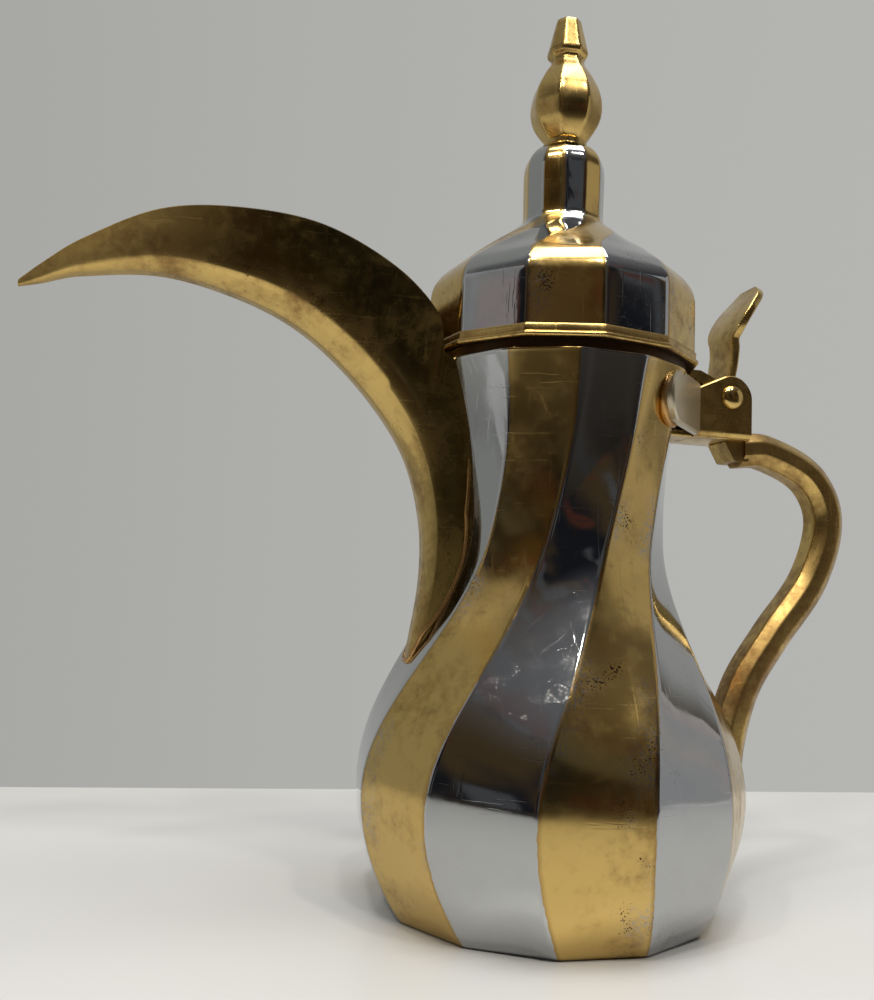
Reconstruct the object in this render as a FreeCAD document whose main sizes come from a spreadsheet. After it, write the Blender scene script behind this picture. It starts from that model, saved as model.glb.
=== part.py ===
import FreeCAD, Part
import math
import os
import re

from FreeCAD import Placement, Rotation, Vector

# A coffee pot of the long-beaked kind: a twelve-sided body that twists from belly to rim,
# an open crescent spout, a bent bar handle and a hinged lid with a turned finial.
# Millimetres, +Z up. The origin is the centre of the base, on the pot's axis.
# The handle leaves along +X, the spout along -X, and the hinge pin lies along Y.

doc = FreeCAD.newDocument("CoffeePot")
sheet = doc.addObject("Spreadsheet::Sheet", "Sizes")

SIZES = (
    # body
    ("base_radius", 50.5), ("belly_radius", 62.8), ("belly_height", 37.0),
    ("neck_radius", 35.8), ("neck_height", 118.0), ("rim_radius", 43.6), ("rim_height", 172.0),
    ("body_wall", 1.2), ("body_twist", 40.7), ("rim_turn", 18.0), ("twist_end", 0.9),
    ("base_turn", 7.0),
    ("floor_thickness", 1.6),
    # spout: the beak's run from the axis, its crest and keel heights above the rim, its trough
    ("spout_reach", 171.0), ("spout_crest_rise", 40.0), ("spout_tip_rise", 11.2),
    ("spout_width", 28.0), ("spout_wall", 1.3), ("spout_keel_width", 5.0), ("spout_foot_height", 69.0),
    ("spout_tip_depth", 1.4), ("spout_tip_wall", 3.4),
    ("pour_width", 13.0), ("pour_height", 46.0), ("pour_bottom", 100.0), ("lid_clearance", 0.8),
    # hinge
    ("pin_offset", 15.9), ("pin_reach", "=rim_radius + pin_offset"), ("pin_drop", 3.3),
    ("pin_radius", 2.0), ("pin_clearance", 0.06), ("pin_head_radius", 4.0), ("pin_head_height", 2.0),
    ("ear_radius", 7.5), ("bracket_width", 21.0), ("bracket_sheet", 2.0), ("bracket_offset", 2.4),
    ("bracket_start", "=rim_radius + bracket_offset"), ("bracket_depth", 14.4), ("bracket_fold", 2.6),
    ("ear_slope", 25.0), ("ear_back_rise", 2.6), ("back_wall_rise", 1.3), ("tab_inset", 2.5),
    ("wing_height", 17.4), ("wing_thickness", 3.0), ("wing_angle", 44.0), ("wing_inset", 1.2),
    ("wing_stand", "=rim_radius - wing_inset"), ("wing_gap", 0.3),
    # handle
    ("handle_reach", 108.0), ("handle_width", 13.5), ("handle_thickness", 11.5), ("handle_chamfer", 3.4),
    ("handle_foot_height", 34.0), ("handle_rise", 1.4), ("handle_crown", 0.3), ("lug_length", 7.5),
    ("lug_thickness", 6.6), ("lug_overlap", 2.0), ("lug_inset", 1.0),
    # lid
    ("seat_height", 2.6), ("flange_overhang", 2.4), ("flange_radius", "=rim_radius + flange_overhang"),
    ("flange_height", 4.0), ("lid_inset", 1.2), ("lid_radius", "=flange_radius - lid_inset"),
    ("lid_wall", 1.4), ("lid_side_height", 18.0), ("shoulder_height", 7.5), ("shoulder_inset", 4.8),
    ("shoulder_radius", "=lid_radius - shoulder_inset"),
    ("cone_height", 21.5), ("tower_radius", 13.9), ("tower_height", 17.0), ("tower_taper", 0.2),
    ("crown_height", 9.5), ("crown_radius", 7.6), ("lid_twist", 44.0), ("lid_turn", -3.7),
    ("collar_clearance", 1.5),
    ("collar_radius", "=rim_radius * cos(15deg) - body_wall - collar_clearance"), ("collar_wall", 1.2),
    ("collar_depth", 5.0), ("seat_width", 2.3),
    # finial
    ("finial_radius", 12.6), ("finial_height", 30.6), ("finial_turn", 16.0), ("waist_radius", 5.8),
    ("cap_radius", 7.3), ("cap_top_radius", 4.4), ("cap_height", 14.2),
    ("stud_radius", 2.5), ("stud_bite", 13.0),
    ("bead_radius", 7.4), ("bead_height", 1.4), ("nut_radius", 5.0), ("nut_height", 4.0),
    ("washer_radius", 6.5), ("washer_height", 1.0), ("stud_tail", 2.0),
    # lid lever
    ("barrel_radius", 4.6), ("barrel_gap", 0.3), ("arm_thickness", 3.2), ("arm_width", 14.0),
    ("arm_overlap", 4.0), ("lever_width", 16.4), ("lever_top_width", 24.0), ("lever_thickness", 2.8),
    ("lever_height", 42.5), ("lever_lean", 13.5),
)
for row, (alias, value) in enumerate(SIZES, start=1):
    sheet.set("A%d" % row, alias)
    sheet.set("B%d" % row, str(value))
    sheet.setAlias("B%d" % row, alias)
doc.recompute()

SIDES = 12
FINIAL_SIDES = 8
FLAT = math.cos(math.pi / SIDES)
PARTS = []


def size(alias):
    """The value of one cell of the sheet."""
    return float(sheet.get(alias))


def cell(text):
    """An expression over the sheet: every two-word name is one of its cells."""
    return re.sub(r"[a-z]+(_[a-z]+)+", r"Sizes.\g<0>", text)


def bind(thing, **expressions):
    """Tie properties to the sheet. at_x, at_y, at_z and turn stand for the placement."""
    paths = {"at_x": "Placement.Base.x", "at_y": "Placement.Base.y",
             "at_z": "Placement.Base.z", "turn": "Placement.Rotation.Angle"}
    for key, text in expressions.items():
        thing.setExpression(paths.get(key, key), cell(text))
    return thing


def ngon(name, sides, radius, height, turn="0"):
    """A regular polygon that lies flat at a height, turned about the axis."""
    wire = doc.addObject("Part::RegularPolygon", name)
    wire.Polygon = sides
    return bind(wire, Circumradius=radius, at_z=height, turn=turn)


def loft(name, sections):
    """A smooth solid through closed sections."""
    solid = doc.addObject("Part::Loft", name)
    solid.Sections = sections
    solid.Solid = True
    solid.Ruled = False
    return solid


def boolean(kind, name, base, tool):
    result = doc.addObject("Part::" + kind, name)
    result.Base = base
    result.Tool = tool
    return result


def cut(name, base, *tools):
    for index, tool in enumerate(tools):
        last = index == len(tools) - 1
        base = boolean("Cut", name if last else "%s_cut%d" % (name, index), base, tool)
    return base


def fuse(name, *solids):
    whole = doc.addObject("Part::MultiFuse", name)
    whole.Shapes = list(solids)
    return whole


def cylinder(name, radius, height, at_z, at_x="0", at_y="0", axis="z"):
    """An upright cylinder from at_z, or one that lies along Y, centred on at_y."""
    solid = doc.addObject("Part::Cylinder", name)
    if axis == "y":
        solid.Placement = Placement(Vector(), Rotation(Vector(1, 0, 0), 90))
    return bind(solid, Radius=radius, Height=height, at_x=at_x, at_y=at_y, at_z=at_z)


def box(name, length, width, height, at_x, at_y, at_z):
    solid = doc.addObject("Part::Box", name)
    return bind(solid, Length=length, Width=width, Height=height, at_x=at_x, at_y=at_y, at_z=at_z)


def solid_feature(name, shape):
    feature = doc.addObject("Part::Feature", name)
    feature.Shape = shape
    feature.Placement = Placement()
    return feature


def part(label, feature):
    """Enter a finished piece under the name of its file."""
    feature.Label = label
    PARTS.append(feature)
    return feature


def side_plate(outline, width):
    """A plate whose side outline lies in the XZ plane, centred on Y."""
    face = Part.Face(Part.Wire(Part.__sortEdges__(outline)))
    face.translate(Vector(0, -width / 2, 0))
    return face.extrude(Vector(0, width, 0))


def polyline(points):
    ring = list(points) + [points[0]]
    return [Part.LineSegment(a, b).toShape() for a, b in zip(ring, ring[1:])]


def spline(points):
    curve = Part.BSplineCurve()
    curve.interpolate(points)
    return curve


# Body. The radius swells from base to belly, falls along a half cosine to the neck and flares
# to the rim; the panel edges turn about the axis between belly and rim.
def body_stations():
    for t in (0.0, 0.12, 0.3, 0.55, 0.8):
        k = math.sin(math.pi / 2 * t) ** 0.8
        yield ("base_radius + ( belly_radius - base_radius ) * %.5f" % k, "belly_height * %.5f" % t)
    for t in (0.0, 0.12, 0.24, 0.36, 0.48, 0.6, 0.72, 0.85):
        k = (1 + math.cos(math.pi * t)) / 2
        yield ("neck_radius + ( belly_radius - neck_radius ) * %.5f" % k,
               "belly_height + ( neck_height - belly_height ) * %.5f" % t)
    for t in (0.0, 0.25, 0.5, 0.75, 1.0):
        yield ("neck_radius + ( rim_radius - neck_radius ) * %.5f" % t ** 2,
               "neck_height + ( rim_height - neck_height ) * %.5f" % t)


def body_turn(height):
    rise = "( ( %s ) - belly_height ) / ( rim_height - belly_height ) / twist_end" % height
    rise = "min( 1 ; max( 0 ; %s ) )" % rise
    foot = "base_turn * max( 0 ; 1 - ( %s ) / belly_height ) ^ 2" % height
    return ("( rim_turn - body_twist * ( 1 - 3 * ( %s ) ^ 2 + 2 * ( %s ) ^ 3 ) + %s ) * 1deg"
            % (rise, rise, foot))


def body_solid(name, inset):
    """The twisted twelve-sided form, its flats moved in by an inset."""
    stations = list(body_stations())
    sections = []
    for index, (radius, height) in enumerate(stations):
        sections.append(ngon("%s_%d" % (name, index), SIDES, "%s - ( %s ) / %.6f" % (radius, inset, FLAT),
                             height, body_turn(height)))
    return loft(name, sections)


body_form = body_solid("body_form", "0")
body_hollow = body_solid("body_hollow", "body_wall")

pour_slot = fuse(
    "pour_slot",
    box("pour_middle", "rim_radius", "pour_width", "pour_height - pour_width",
        "0 - rim_radius", "0 - pour_width / 2", "pour_bottom + pour_width / 2"),
    bind(doc.addObject("Part::Cylinder", "pour_low"), Radius="pour_width / 2", Height="rim_radius"),
    bind(doc.addObject("Part::Cylinder", "pour_high"), Radius="pour_width / 2", Height="rim_radius"))
for end, height in (("pour_low", "pour_bottom + pour_width / 2"),
                    ("pour_high", "pour_bottom + pour_height - pour_width / 2")):
    end = doc.getObject(end)
    end.Placement = Placement(Vector(), Rotation(Vector(0, 1, 0), 90))
    bind(end, at_x="0 - rim_radius", at_z=height)

part("vessel_shell", cut("vessel", body_form, body_hollow, pour_slot))

floor_slab = box("floor_slab", "4 * base_radius", "4 * base_radius", "floor_thickness",
                 "0 - 2 * base_radius", "0 - 2 * base_radius", "0")
part("base_disc", boolean("Common", "floor_plate", body_hollow, floor_slab))


# Spout. Each section is a trough across the line from keel to lip; the lip rises over a crest
# and falls to the tip, the keel follows below it and comes down the body to the foot.
def spout_line():
    """Lip point, keel point and half width of each section, from the tip to the foot."""
    reach, rim, half = size("spout_reach"), size("rim_height"), size("spout_width") / 2
    crest, foot = size("spout_crest_rise"), size("spout_foot_height")
    tip = rim + size("spout_tip_rise")
    deep, keel = size("spout_tip_depth"), size("spout_keel_width")
    neck = size("neck_radius")
    run = reach - neck
    drop = rim - foot

    def out(share):
        return -(neck + run * share)

    return (
        (Vector(out(1.0), 0, tip + deep), Vector(out(1.0), 0, tip), 0.08 * half),
        (Vector(out(0.95), 0, tip + 5.2 * deep), Vector(out(0.955), 0, tip + 1.3 * deep), 0.2 * half),
        (Vector(out(0.87), 0, rim + 0.66 * crest), Vector(out(0.875), 0, rim + 0.42 * crest), 0.36 * half),
        (Vector(out(0.71), 0, rim + 0.93 * crest), Vector(out(0.705), 0, rim + 0.49 * crest), 0.6 * half),
        (Vector(out(0.54), 0, rim + crest), Vector(out(0.54), 0, rim + 0.39 * crest), 0.78 * half),
        (Vector(out(0.355), 0, rim + 0.94 * crest), Vector(out(0.405), 0, rim + 0.21 * crest), 0.91 * half),
        (Vector(out(0.19), 0, rim + 0.69 * crest), Vector(out(0.29), 0, rim - 0.07 * crest), 0.98 * half),
        (Vector(out(0.085), 0, rim + 0.38 * crest), Vector(out(0.18), 0, rim - 0.18 * drop), half),
        (Vector(out(0.0), 0, rim - 0.04 * drop), Vector(out(0.11), 0, rim - 0.33 * drop), half),
        (Vector(-0.82 * neck, 0, rim - 0.27 * drop), Vector(out(0.072), 0, rim - 0.52 * drop), 0.96 * half),
        (Vector(-0.76 * neck, 0, rim - 0.55 * drop), Vector(out(0.069), 0, rim - 0.69 * drop), 0.82 * half),
        (Vector(-0.85 * neck, 0, rim - 0.8 * drop), Vector(out(0.088), 0, rim - 0.87 * drop), 0.56 * half),
        (Vector(-neck, 0, foot + keel / 2), Vector(out(0.102), 0, foot), 0.24 * half),
    )


def trough(lip, keel, half, side_wall, keel_wall, above):
    """A closed trough section: a narrow keel, a rounded turn, upright flanks and a straight top edge."""
    up = Vector(lip).sub(keel)
    depth = up.Length
    up.normalize()
    half = half - side_wall
    keel_half = min(size("spout_keel_width") / 2, 0.45 * half)
    low = keel + up * keel_wall
    tall = depth - keel_wall + above
    shape = ((keel_half, 0.0), (keel_half + 0.6 * (half - keel_half), 0.11), (0.92 * half, 0.3), (half, 1.0))
    right = [low + up * (tall * v) + Vector(0, y, 0) for y, v in shape]
    left = [low + up * (tall * v) - Vector(0, y, 0) for y, v in shape]
    skin = spline(left[::-1] + right).toShape()
    return Part.Wire([skin, Part.LineSegment(right[-1], left[-1]).toShape()])


# The hollow starts behind the solid tip, over a keel that thins from there to the sheet's own wall.
spout_stations = spout_line()
outer_sections = [trough(*station, 0, 0, 0) for station in spout_stations]
sheet_wall = size("spout_wall")
inner_sections = []
for index, station in enumerate(spout_stations[2:]):
    keel_wall = sheet_wall + (size("spout_tip_wall") - sheet_wall) * max(0, 1 - index / 3)
    inner_sections.append(trough(*station, sheet_wall, keel_wall, size("lid_side_height") / 2))
spout_form = solid_feature("spout_form", Part.makeLoft(outer_sections, True))
spout_hollow = solid_feature("spout_hollow", Part.makeLoft(inner_sections, True))
lid_room = cylinder("lid_room", "flange_radius + lid_clearance", "spout_crest_rise * 2", "rim_height")
part("spout", cut("beak", spout_form, spout_hollow, body_form, lid_room))

# Hinge bracket: sheet folded to a channel, its two ears rounded over the pin, with a back wall
# and a tab that reaches the neck under the lid's arm.
pin_z = size("rim_height") - size("pin_drop")
pin_x = size("pin_reach")
plate_z = pin_z - size("bracket_depth")
ear = size("ear_radius")
start = size("bracket_start")
end = pin_x + ear
half_width = size("bracket_width") / 2
gauge = size("bracket_sheet")
fold = size("bracket_fold")



def on_ear(lean):
    """A point on the ear's round edge, by its lean in degrees from straight above the pin."""
    lean = math.radians(lean)
    return Vector(pin_x + ear * math.sin(lean), 0, pin_z + ear * math.cos(lean))


top_tangent = on_ear(-size("ear_slope"))
ear_arc = Part.Arc(on_ear(90), on_ear(45), top_tangent)
ear_corners = [top_tangent, Vector(start, 0, pin_z + size("ear_back_rise")), Vector(start, 0, plate_z),
               Vector(end, 0, plate_z), on_ear(90)]
ear_outline = [ear_arc.toShape()]
ear_outline += [Part.LineSegment(a, b).toShape() for a, b in zip(ear_corners, ear_corners[1:])]
ear_block = solid_feature("ear_block", side_plate(ear_outline, 2 * half_width))

channel_bend = doc.addObject("Part::Fillet", "channel_bend")
channel_block = box("channel_block", "pin_reach + ear_radius - bracket_start", "bracket_width",
                    "bracket_depth * 3", "bracket_start", "0 - bracket_width / 2",
                    "rim_height - pin_drop - bracket_depth")
doc.recompute()
low_edges = []
for index, edge in enumerate(channel_block.Shape.Edges, start=1):
    box_of = edge.BoundBox
    if box_of.XLength > 1 and abs(box_of.ZMax - plate_z) < 1e-6:
        low_edges.append((index, fold, fold))
channel_bend.Base = channel_block
channel_bend.Edges = low_edges
channel_inside = box("channel_inside", "pin_reach + ear_radius", "bracket_width - 2 * bracket_sheet",
                     "bracket_depth * 3", "bracket_start + bracket_sheet",
                     "bracket_sheet - bracket_width / 2",
                     "rim_height - pin_drop - bracket_depth + bracket_sheet")
back_gate = box("back_gate", "bracket_sheet * 3", "bracket_width - 2 * bracket_sheet", "bracket_depth * 3",
                "bracket_start - bracket_sheet", "bracket_sheet - bracket_width / 2",
                "rim_height - pin_drop + back_wall_rise")
neck_tab = box("neck_tab", "bracket_start - neck_radius", "bracket_width - 2 * tab_inset", "bracket_sheet",
               "neck_radius", "tab_inset - bracket_width / 2", "rim_height - pin_drop - bracket_depth")
pin_hole = cylinder("pin_hole", "pin_radius", "bracket_width * 2", "rim_height - pin_drop",
                    at_x="pin_reach", at_y="bracket_width", axis="y")
channel = cut("channel", channel_bend, channel_inside, back_gate)
ears = boolean("Common", "ears", channel, ear_block)
part("hinge_bracket", cut("bracket", fuse("bracket_blank", ears, neck_tab), pin_hole, body_form))

# Wings: two plates with rounded ends, tangent to the neck, that carry the bracket.
for label, hand in (("hinge_wing_left", -1), ("hinge_wing_right", 1)):
    round_end = doc.addObject("Part::Cylinder", label + "_round")
    flat_end = doc.addObject("Part::Box", label + "_flat")
    bind(round_end, Radius="wing_height / 2", Height="wing_thickness")
    bind(flat_end, Length="wing_thickness", Width="bracket_start", Height="wing_height")
    wing_turn = math.radians(hand * size("wing_angle"))
    away = Vector(math.cos(wing_turn), math.sin(wing_turn), 0)
    along = Vector(math.sin(wing_turn), -math.cos(wing_turn), 0) * hand
    mid_z = size("rim_height") - size("wing_gap") - size("wing_height") / 2
    seat = away * (size("wing_stand") - size("wing_thickness"))
    spin = Rotation(Vector(0, 0, 1), math.degrees(wing_turn))
    round_end.Placement = Placement(seat + Vector(0, 0, mid_z), spin * Rotation(Vector(0, 1, 0), 90))
    corner = seat + Vector(0, 0, mid_z - size("wing_height") / 2)
    if hand > 0:
        corner = corner + along * size("bracket_start")
    flat_end.Placement = Placement(corner, spin)
    beyond = box(label + "_beyond", "4 * bracket_start", "8 * bracket_start", "8 * bracket_start",
                 "bracket_start", "0 - 4 * bracket_start", "0")
    part(label, cut(label + "_plate", fuse(label + "_blank", round_end, flat_end), beyond, body_form))

# Hinge pin: a rivet across the ears with a domed head at each end.
shank = cylinder("pin_shank", "pin_radius", "bracket_width", "rim_height - pin_drop",
                 at_x="pin_reach", at_y="bracket_width / 2", axis="y")
heads = []
for name, hand in (("pin_head_left", -1), ("pin_head_right", 1)):
    dome = doc.addObject("Part::Sphere", name)
    dome.Placement = Placement(Vector(), Rotation(Vector(1, 0, 0), -90 * hand))
    bow = "( pin_head_radius ^ 2 + pin_head_height ^ 2 ) / ( 2 * pin_head_height )"
    bind(dome, Radius=bow, Angle1="asin( 1 - pin_head_height / ( %s ) )" % bow, at_x="pin_reach",
         at_y="%d * ( bracket_width / 2 + pin_head_height - %s )" % (hand, bow), at_z="rim_height - pin_drop")
    heads.append(dome)
part("hinge_pin", fuse("rivet", shank, *heads))


# Handle: a bar of chamfered section that leaves level from the bracket, turns down and runs in
# to the belly, where it is cut to the body's form. A thin lug carries it under the bracket.
def bar_section(centre, direction, width, thickness, chamfer):
    out = Vector(-direction.z, 0, direction.x)
    a, b = width / 2, thickness / 2
    ring = ((a - chamfer, b), (a, b - chamfer), (a, chamfer - b), (a - chamfer, -b),
            (chamfer - a, -b), (-a, chamfer - b), (-a, b - chamfer), (chamfer - a, b))
    corners = [centre + Vector(0, y, 0) + out * v for y, v in ring]
    return Part.makePolygon(corners + corners[:1])


def handle_line():
    """The bar's middle line from the bracket's end to the foot."""
    belly, foot = size("belly_radius"), size("handle_foot_height")
    half = size("handle_thickness") / 2
    level = plate_z + gauge + size("handle_rise") - half
    far = size("handle_reach") - half
    tall = level - foot
    return spline([Vector(end, 0, level), Vector(end + 0.3 * (far - end), 0, level + size("handle_crown")),
                   Vector(end + 0.8 * (far - end), 0, level - 0.065 * tall),
                   Vector(far, 0, level - 0.19 * tall),
                   Vector(end + 0.83 * (far - end), 0, level - 0.37 * tall),
                   Vector(end + 0.4 * (far - end), 0, level - 0.545 * tall),
                   Vector(belly + 0.115 * belly, 0, level - 0.69 * tall),
                   Vector(belly + 0.025 * belly, 0, level - 0.85 * tall), Vector(belly, 0, foot)])


bar_line = handle_line()
bar_sections = []
for step in range(17):
    t = bar_line.FirstParameter + (bar_line.LastParameter - bar_line.FirstParameter) * step / 16
    course = Vector(1, 0, 0) if step == 0 else Vector(*bar_line.tangent(t)[0])
    bar_sections.append(bar_section(Vector(*bar_line.value(t)), course, size("handle_width"),
                                    size("handle_thickness"), size("handle_chamfer")))
bar = solid_feature("handle_bar", Part.makeLoft(bar_sections, True))
lug_low = plate_z - size("lug_thickness")
lug_far = end + size("lug_overlap")
lug = solid_feature("handle_lug", side_plate(polyline([
    Vector(end - size("lug_length"), 0, plate_z), Vector(end - size("lug_length") / 2, 0, lug_low),
    Vector(lug_far, 0, lug_low), Vector(lug_far, 0, plate_z)]), size("handle_width") - 2 * size("lug_inset")))
part("handle", cut("grip", fuse("grip_blank", bar, lug), body_form))

# Lid: flange, twisted shell with a tower, seat ring and collar.
FLANGE_LOW = "rim_height + seat_height"
FLANGE_TOP = "rim_height + seat_height + flange_height"
LID_TURN = "lid_turn * 1deg"


def lid_stations():
    """Radius, height and turn of each lid section above the flange."""
    shoulder = "lid_side_height + shoulder_height"
    tower = "lid_side_height + shoulder_height + cone_height"
    crown = tower + " + tower_height"
    yield "lid_radius", "0", 0.0
    yield "lid_radius", "lid_side_height * 0.5", 0.0
    for t, k in ((-0.3, 0.01), (0.0, 0.05), (0.35, 0.22), (0.7, 0.57)):
        yield "lid_radius - shoulder_inset * %g" % k, "lid_side_height + shoulder_height * %g" % t, 0.0
    for t, k in ((0.0, 0.0), (0.21, 0.23), (0.4, 0.43), (0.58, 0.63), (0.74, 0.81), (0.88, 0.95), (1.0, 1.0)):
        radius = "shoulder_radius - ( shoulder_radius - tower_radius ) * %g" % k
        yield radius, "%s + cone_height * %g" % (shoulder, t), 3 * t ** 2 - 2 * t ** 3
    yield "tower_radius - tower_taper / 2", tower + " + tower_height * 0.5", 1.0
    yield "tower_radius - tower_taper", crown, 1.0


def lid_solid(name, inset, extra):
    sections = []
    stations = list(lid_stations()) + list(extra)
    for index, (radius, height, turn) in enumerate(stations):
        turn = "( lid_turn + lid_twist * %.5f ) * 1deg" % turn
        sections.append(ngon("%s_%d" % (name, index), SIDES, "%s - ( %s ) / %.6f" % (radius, inset, FLAT),
                             "%s + %s" % (FLANGE_TOP, height), turn))
    return loft(name, sections)


CROWN = "lid_side_height + shoulder_height + cone_height + tower_height"
crown_stations = (
    ("crown_radius + ( tower_radius - crown_radius ) * 0.86", CROWN + " + crown_height * 0.42", 1.0),
    ("crown_radius + ( tower_radius - crown_radius ) * 0.5", CROWN + " + crown_height * 0.76", 1.0),
    ("crown_radius", CROWN + " + crown_height", 1.0))
lid_form = lid_solid("lid_form", "0", crown_stations)
lid_hollow = lid_solid("lid_hollow", "lid_wall", ())
stud_hole = cylinder("stud_hole", "stud_radius", "crown_height * 3",
                     FLANGE_TOP + " + " + CROWN + " - crown_height")
part("lid_shell", cut("lid", lid_form, lid_hollow, stud_hole))

flange_plate = bind(doc.addObject("Part::Prism", "flange_plate"), Circumradius="flange_radius",
                    Height="flange_height", at_z=FLANGE_LOW, turn=LID_TURN)
flange_plate.Polygon = SIDES
flange_bore = cylinder("flange_bore", "collar_radius", "flange_height * 3", FLANGE_LOW + " - flange_height")
part("lid_flange", cut("flange", flange_plate, flange_bore))

seat_disc = cylinder("seat_disc", "collar_radius + seat_width", "seat_height", "rim_height")
seat_bore = cylinder("seat_bore", "collar_radius", "seat_height * 3", "rim_height - seat_height")
part("lid_seat_ring", cut("seat_ring", seat_disc, seat_bore))

collar_disc = cylinder("collar_disc", "collar_radius", "collar_depth + seat_height + flange_height",
                       "rim_height - collar_depth")
collar_bore = cylinder("collar_bore", "collar_radius - collar_wall", "rim_height", "rim_height / 2")
part("lid_collar", cut("collar", collar_disc, collar_bore))

# Finial: an eight-sided bulb and cap over a small bead, held by a stud from inside the tower.
LID_TOP = FLANGE_TOP + " + " + CROWN + " + crown_height"
BULB_LOW = LID_TOP + " + bead_height"
bulb = loft("bulb", [
    ngon("bulb_%d" % index, FINIAL_SIDES, "waist_radius + ( finial_radius - waist_radius ) * %g" % k,
         "%s + finial_height * %g" % (BULB_LOW, t), "finial_turn * 1deg")
    for index, (t, k) in enumerate(((0.0, 0.1), (0.1, 0.5), (0.23, 0.85), (0.4, 1.0), (0.6, 0.86),
                                    (0.79, 0.45), (0.92, 0.08), (1.0, 0.0)))])
CAP_LOW = BULB_LOW + " + finial_height"
cap_stations = ((0.0, "waist_radius"), (0.08, "waist_radius + ( cap_radius - waist_radius ) * 0.8"),
                (0.16, "cap_radius"), (0.55, "cap_radius + ( cap_top_radius - cap_radius ) * 0.5"),
                (1.0, "cap_top_radius"))
cap = loft("cap", [
    ngon("cap_%d" % index, FINIAL_SIDES, radius, "%s + cap_height * %g" % (CAP_LOW, t), "finial_turn * 1deg")
    for index, (t, radius) in enumerate(cap_stations)])
stud_socket = cylinder("stud_socket", "stud_radius", "stud_bite + bead_height", LID_TOP)
part("finial", cut("finial_turned", fuse("finial_blank", bulb, cap), stud_socket))

bead_disc = cylinder("bead_disc", "bead_radius", "bead_height", LID_TOP)
bead_bore = cylinder("bead_bore", "stud_radius", "bead_height * 3", LID_TOP + " - bead_height")
part("finial_bead", cut("bead", bead_disc, bead_bore))

STUD_HEAD = FLANGE_TOP + " + " + CROWN
part("finial_stud", cylinder(
    "stud", "stud_radius", "stud_bite + bead_height + crown_height + washer_height + nut_height + stud_tail",
    STUD_HEAD + " - washer_height - nut_height - stud_tail"))
washer_disc = cylinder("washer_disc", "washer_radius", "washer_height", STUD_HEAD + " - washer_height")
washer_bore = cylinder("washer_bore", "stud_radius", "crown_height * 2", STUD_HEAD + " - crown_height")
part("finial_washer", cut("washer", washer_disc, washer_bore))
nut_block = bind(doc.addObject("Part::Prism", "nut_block"), Circumradius="nut_radius", Height="nut_height",
                 at_z=STUD_HEAD + " - washer_height - nut_height")
nut_block.Polygon = 6
part("finial_nut", cut("nut", nut_block, washer_bore))

# Lid arm: from the flange back to a barrel that turns on the pin between the ears.
barrel = cylinder("barrel", "barrel_radius", "bracket_width - 2 * bracket_sheet - 2 * barrel_gap",
                  "rim_height - pin_drop", at_x="pin_reach",
                  at_y="bracket_width / 2 - bracket_sheet - barrel_gap", axis="y")
barrel_bore = cylinder("barrel_bore", "pin_radius + pin_clearance", "bracket_width * 2",
                       "rim_height - pin_drop", at_x="pin_reach", at_y="bracket_width", axis="y")
flange_z = size("rim_height") + size("seat_height")
arm_top = flange_z + size("arm_thickness")
arm_start = size("flange_radius") - size("arm_overlap")
barrel_r = size("barrel_radius")
arm = solid_feature("arm", side_plate(polyline([
    Vector(arm_start, 0, flange_z), Vector(arm_start, 0, arm_top),
    Vector(pin_x - 2.2 * barrel_r, 0, arm_top), Vector(pin_x + 0.2 * barrel_r, 0, pin_z + 0.95 * barrel_r),
    Vector(pin_x - 0.55 * barrel_r, 0, pin_z - 0.45 * barrel_r),
    Vector(pin_x - 2.4 * barrel_r, 0, flange_z)]), size("arm_width")))
arm_blank = fuse("arm_blank", barrel, arm)
part("lid_arm", cut("hinge_arm", arm_blank, barrel_bore, flange_plate))


# Thumb lever: a plate bent to an S, with a rounded top, that stands on the barrel.
def lever_outline():
    lean, tall, half = size("lever_lean"), size("lever_height"), size("lever_thickness") / 2
    course = spline([Vector(pin_x + lean * k, 0, pin_z + tall * t) for t, k in (
        (0.02, 0.0), (0.1, 0.03), (0.26, 0.15), (0.42, 0.21), (0.53, 0.2), (0.65, 0.32),
        (0.78, 0.56), (0.9, 0.84), (1.0, 1.0))])
    front, rear = [], []
    for step in range(25):
        t = course.FirstParameter + (course.LastParameter - course.FirstParameter) * step / 24
        at, way = Vector(*course.value(t)), Vector(*course.tangent(t)[0])
        side = Vector(way.z, 0, -way.x) * half
        front.append(at - side)
        rear.append(at + side)
    return [spline(front).toShape(), Part.LineSegment(front[-1], rear[-1]).toShape(),
            spline(rear[::-1]).toShape(), Part.LineSegment(rear[0], front[0]).toShape()]


lever_sheet = solid_feature("lever_sheet", side_plate(lever_outline(), size("lever_top_width")))
lever_round = bind(doc.addObject("Part::Cylinder", "lever_round"), Radius="lever_top_width / 2",
                   Height="pin_reach")
lever_round.Placement = Placement(Vector(), Rotation(Vector(0, 1, 0), 90))
bind(lever_round, at_x="pin_reach / 2", at_z="rim_height - pin_drop + lever_height - lever_top_width / 2")
lever_tall = box("lever_tall", "pin_reach", "lever_width", "lever_height - lever_top_width / 2", "pin_reach / 2",
                 "0 - lever_width / 2", "rim_height - pin_drop")
lever_window = fuse("lever_window", lever_round, lever_tall)
lever_blade = boolean("Common", "lever_blade", lever_sheet, lever_window)
part("thumb_lever", cut("lever", lever_blade, arm_blank))

doc.recompute()

for thing in doc.Objects:
    state = getattr(thing, "State", [])
    if "Invalid" in state or "Error" in state:
        raise RuntimeError("%s did not build: %s" % (thing.Name, state))
for piece in PARTS:
    if piece.Shape.isNull() or not piece.Shape.isValid() or len(piece.Shape.Solids) != 1:
        raise RuntimeError("%s is not one sound solid (%d)" % (piece.Label, len(piece.Shape.Solids)))

os.makedirs("parts", exist_ok=True)
for piece in PARTS:
    piece.Shape.exportStep("parts/%s.step" % piece.Label)
    print("%-18s %8.0f mm3" % (piece.Label, piece.Shape.Volume))
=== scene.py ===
import math

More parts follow.
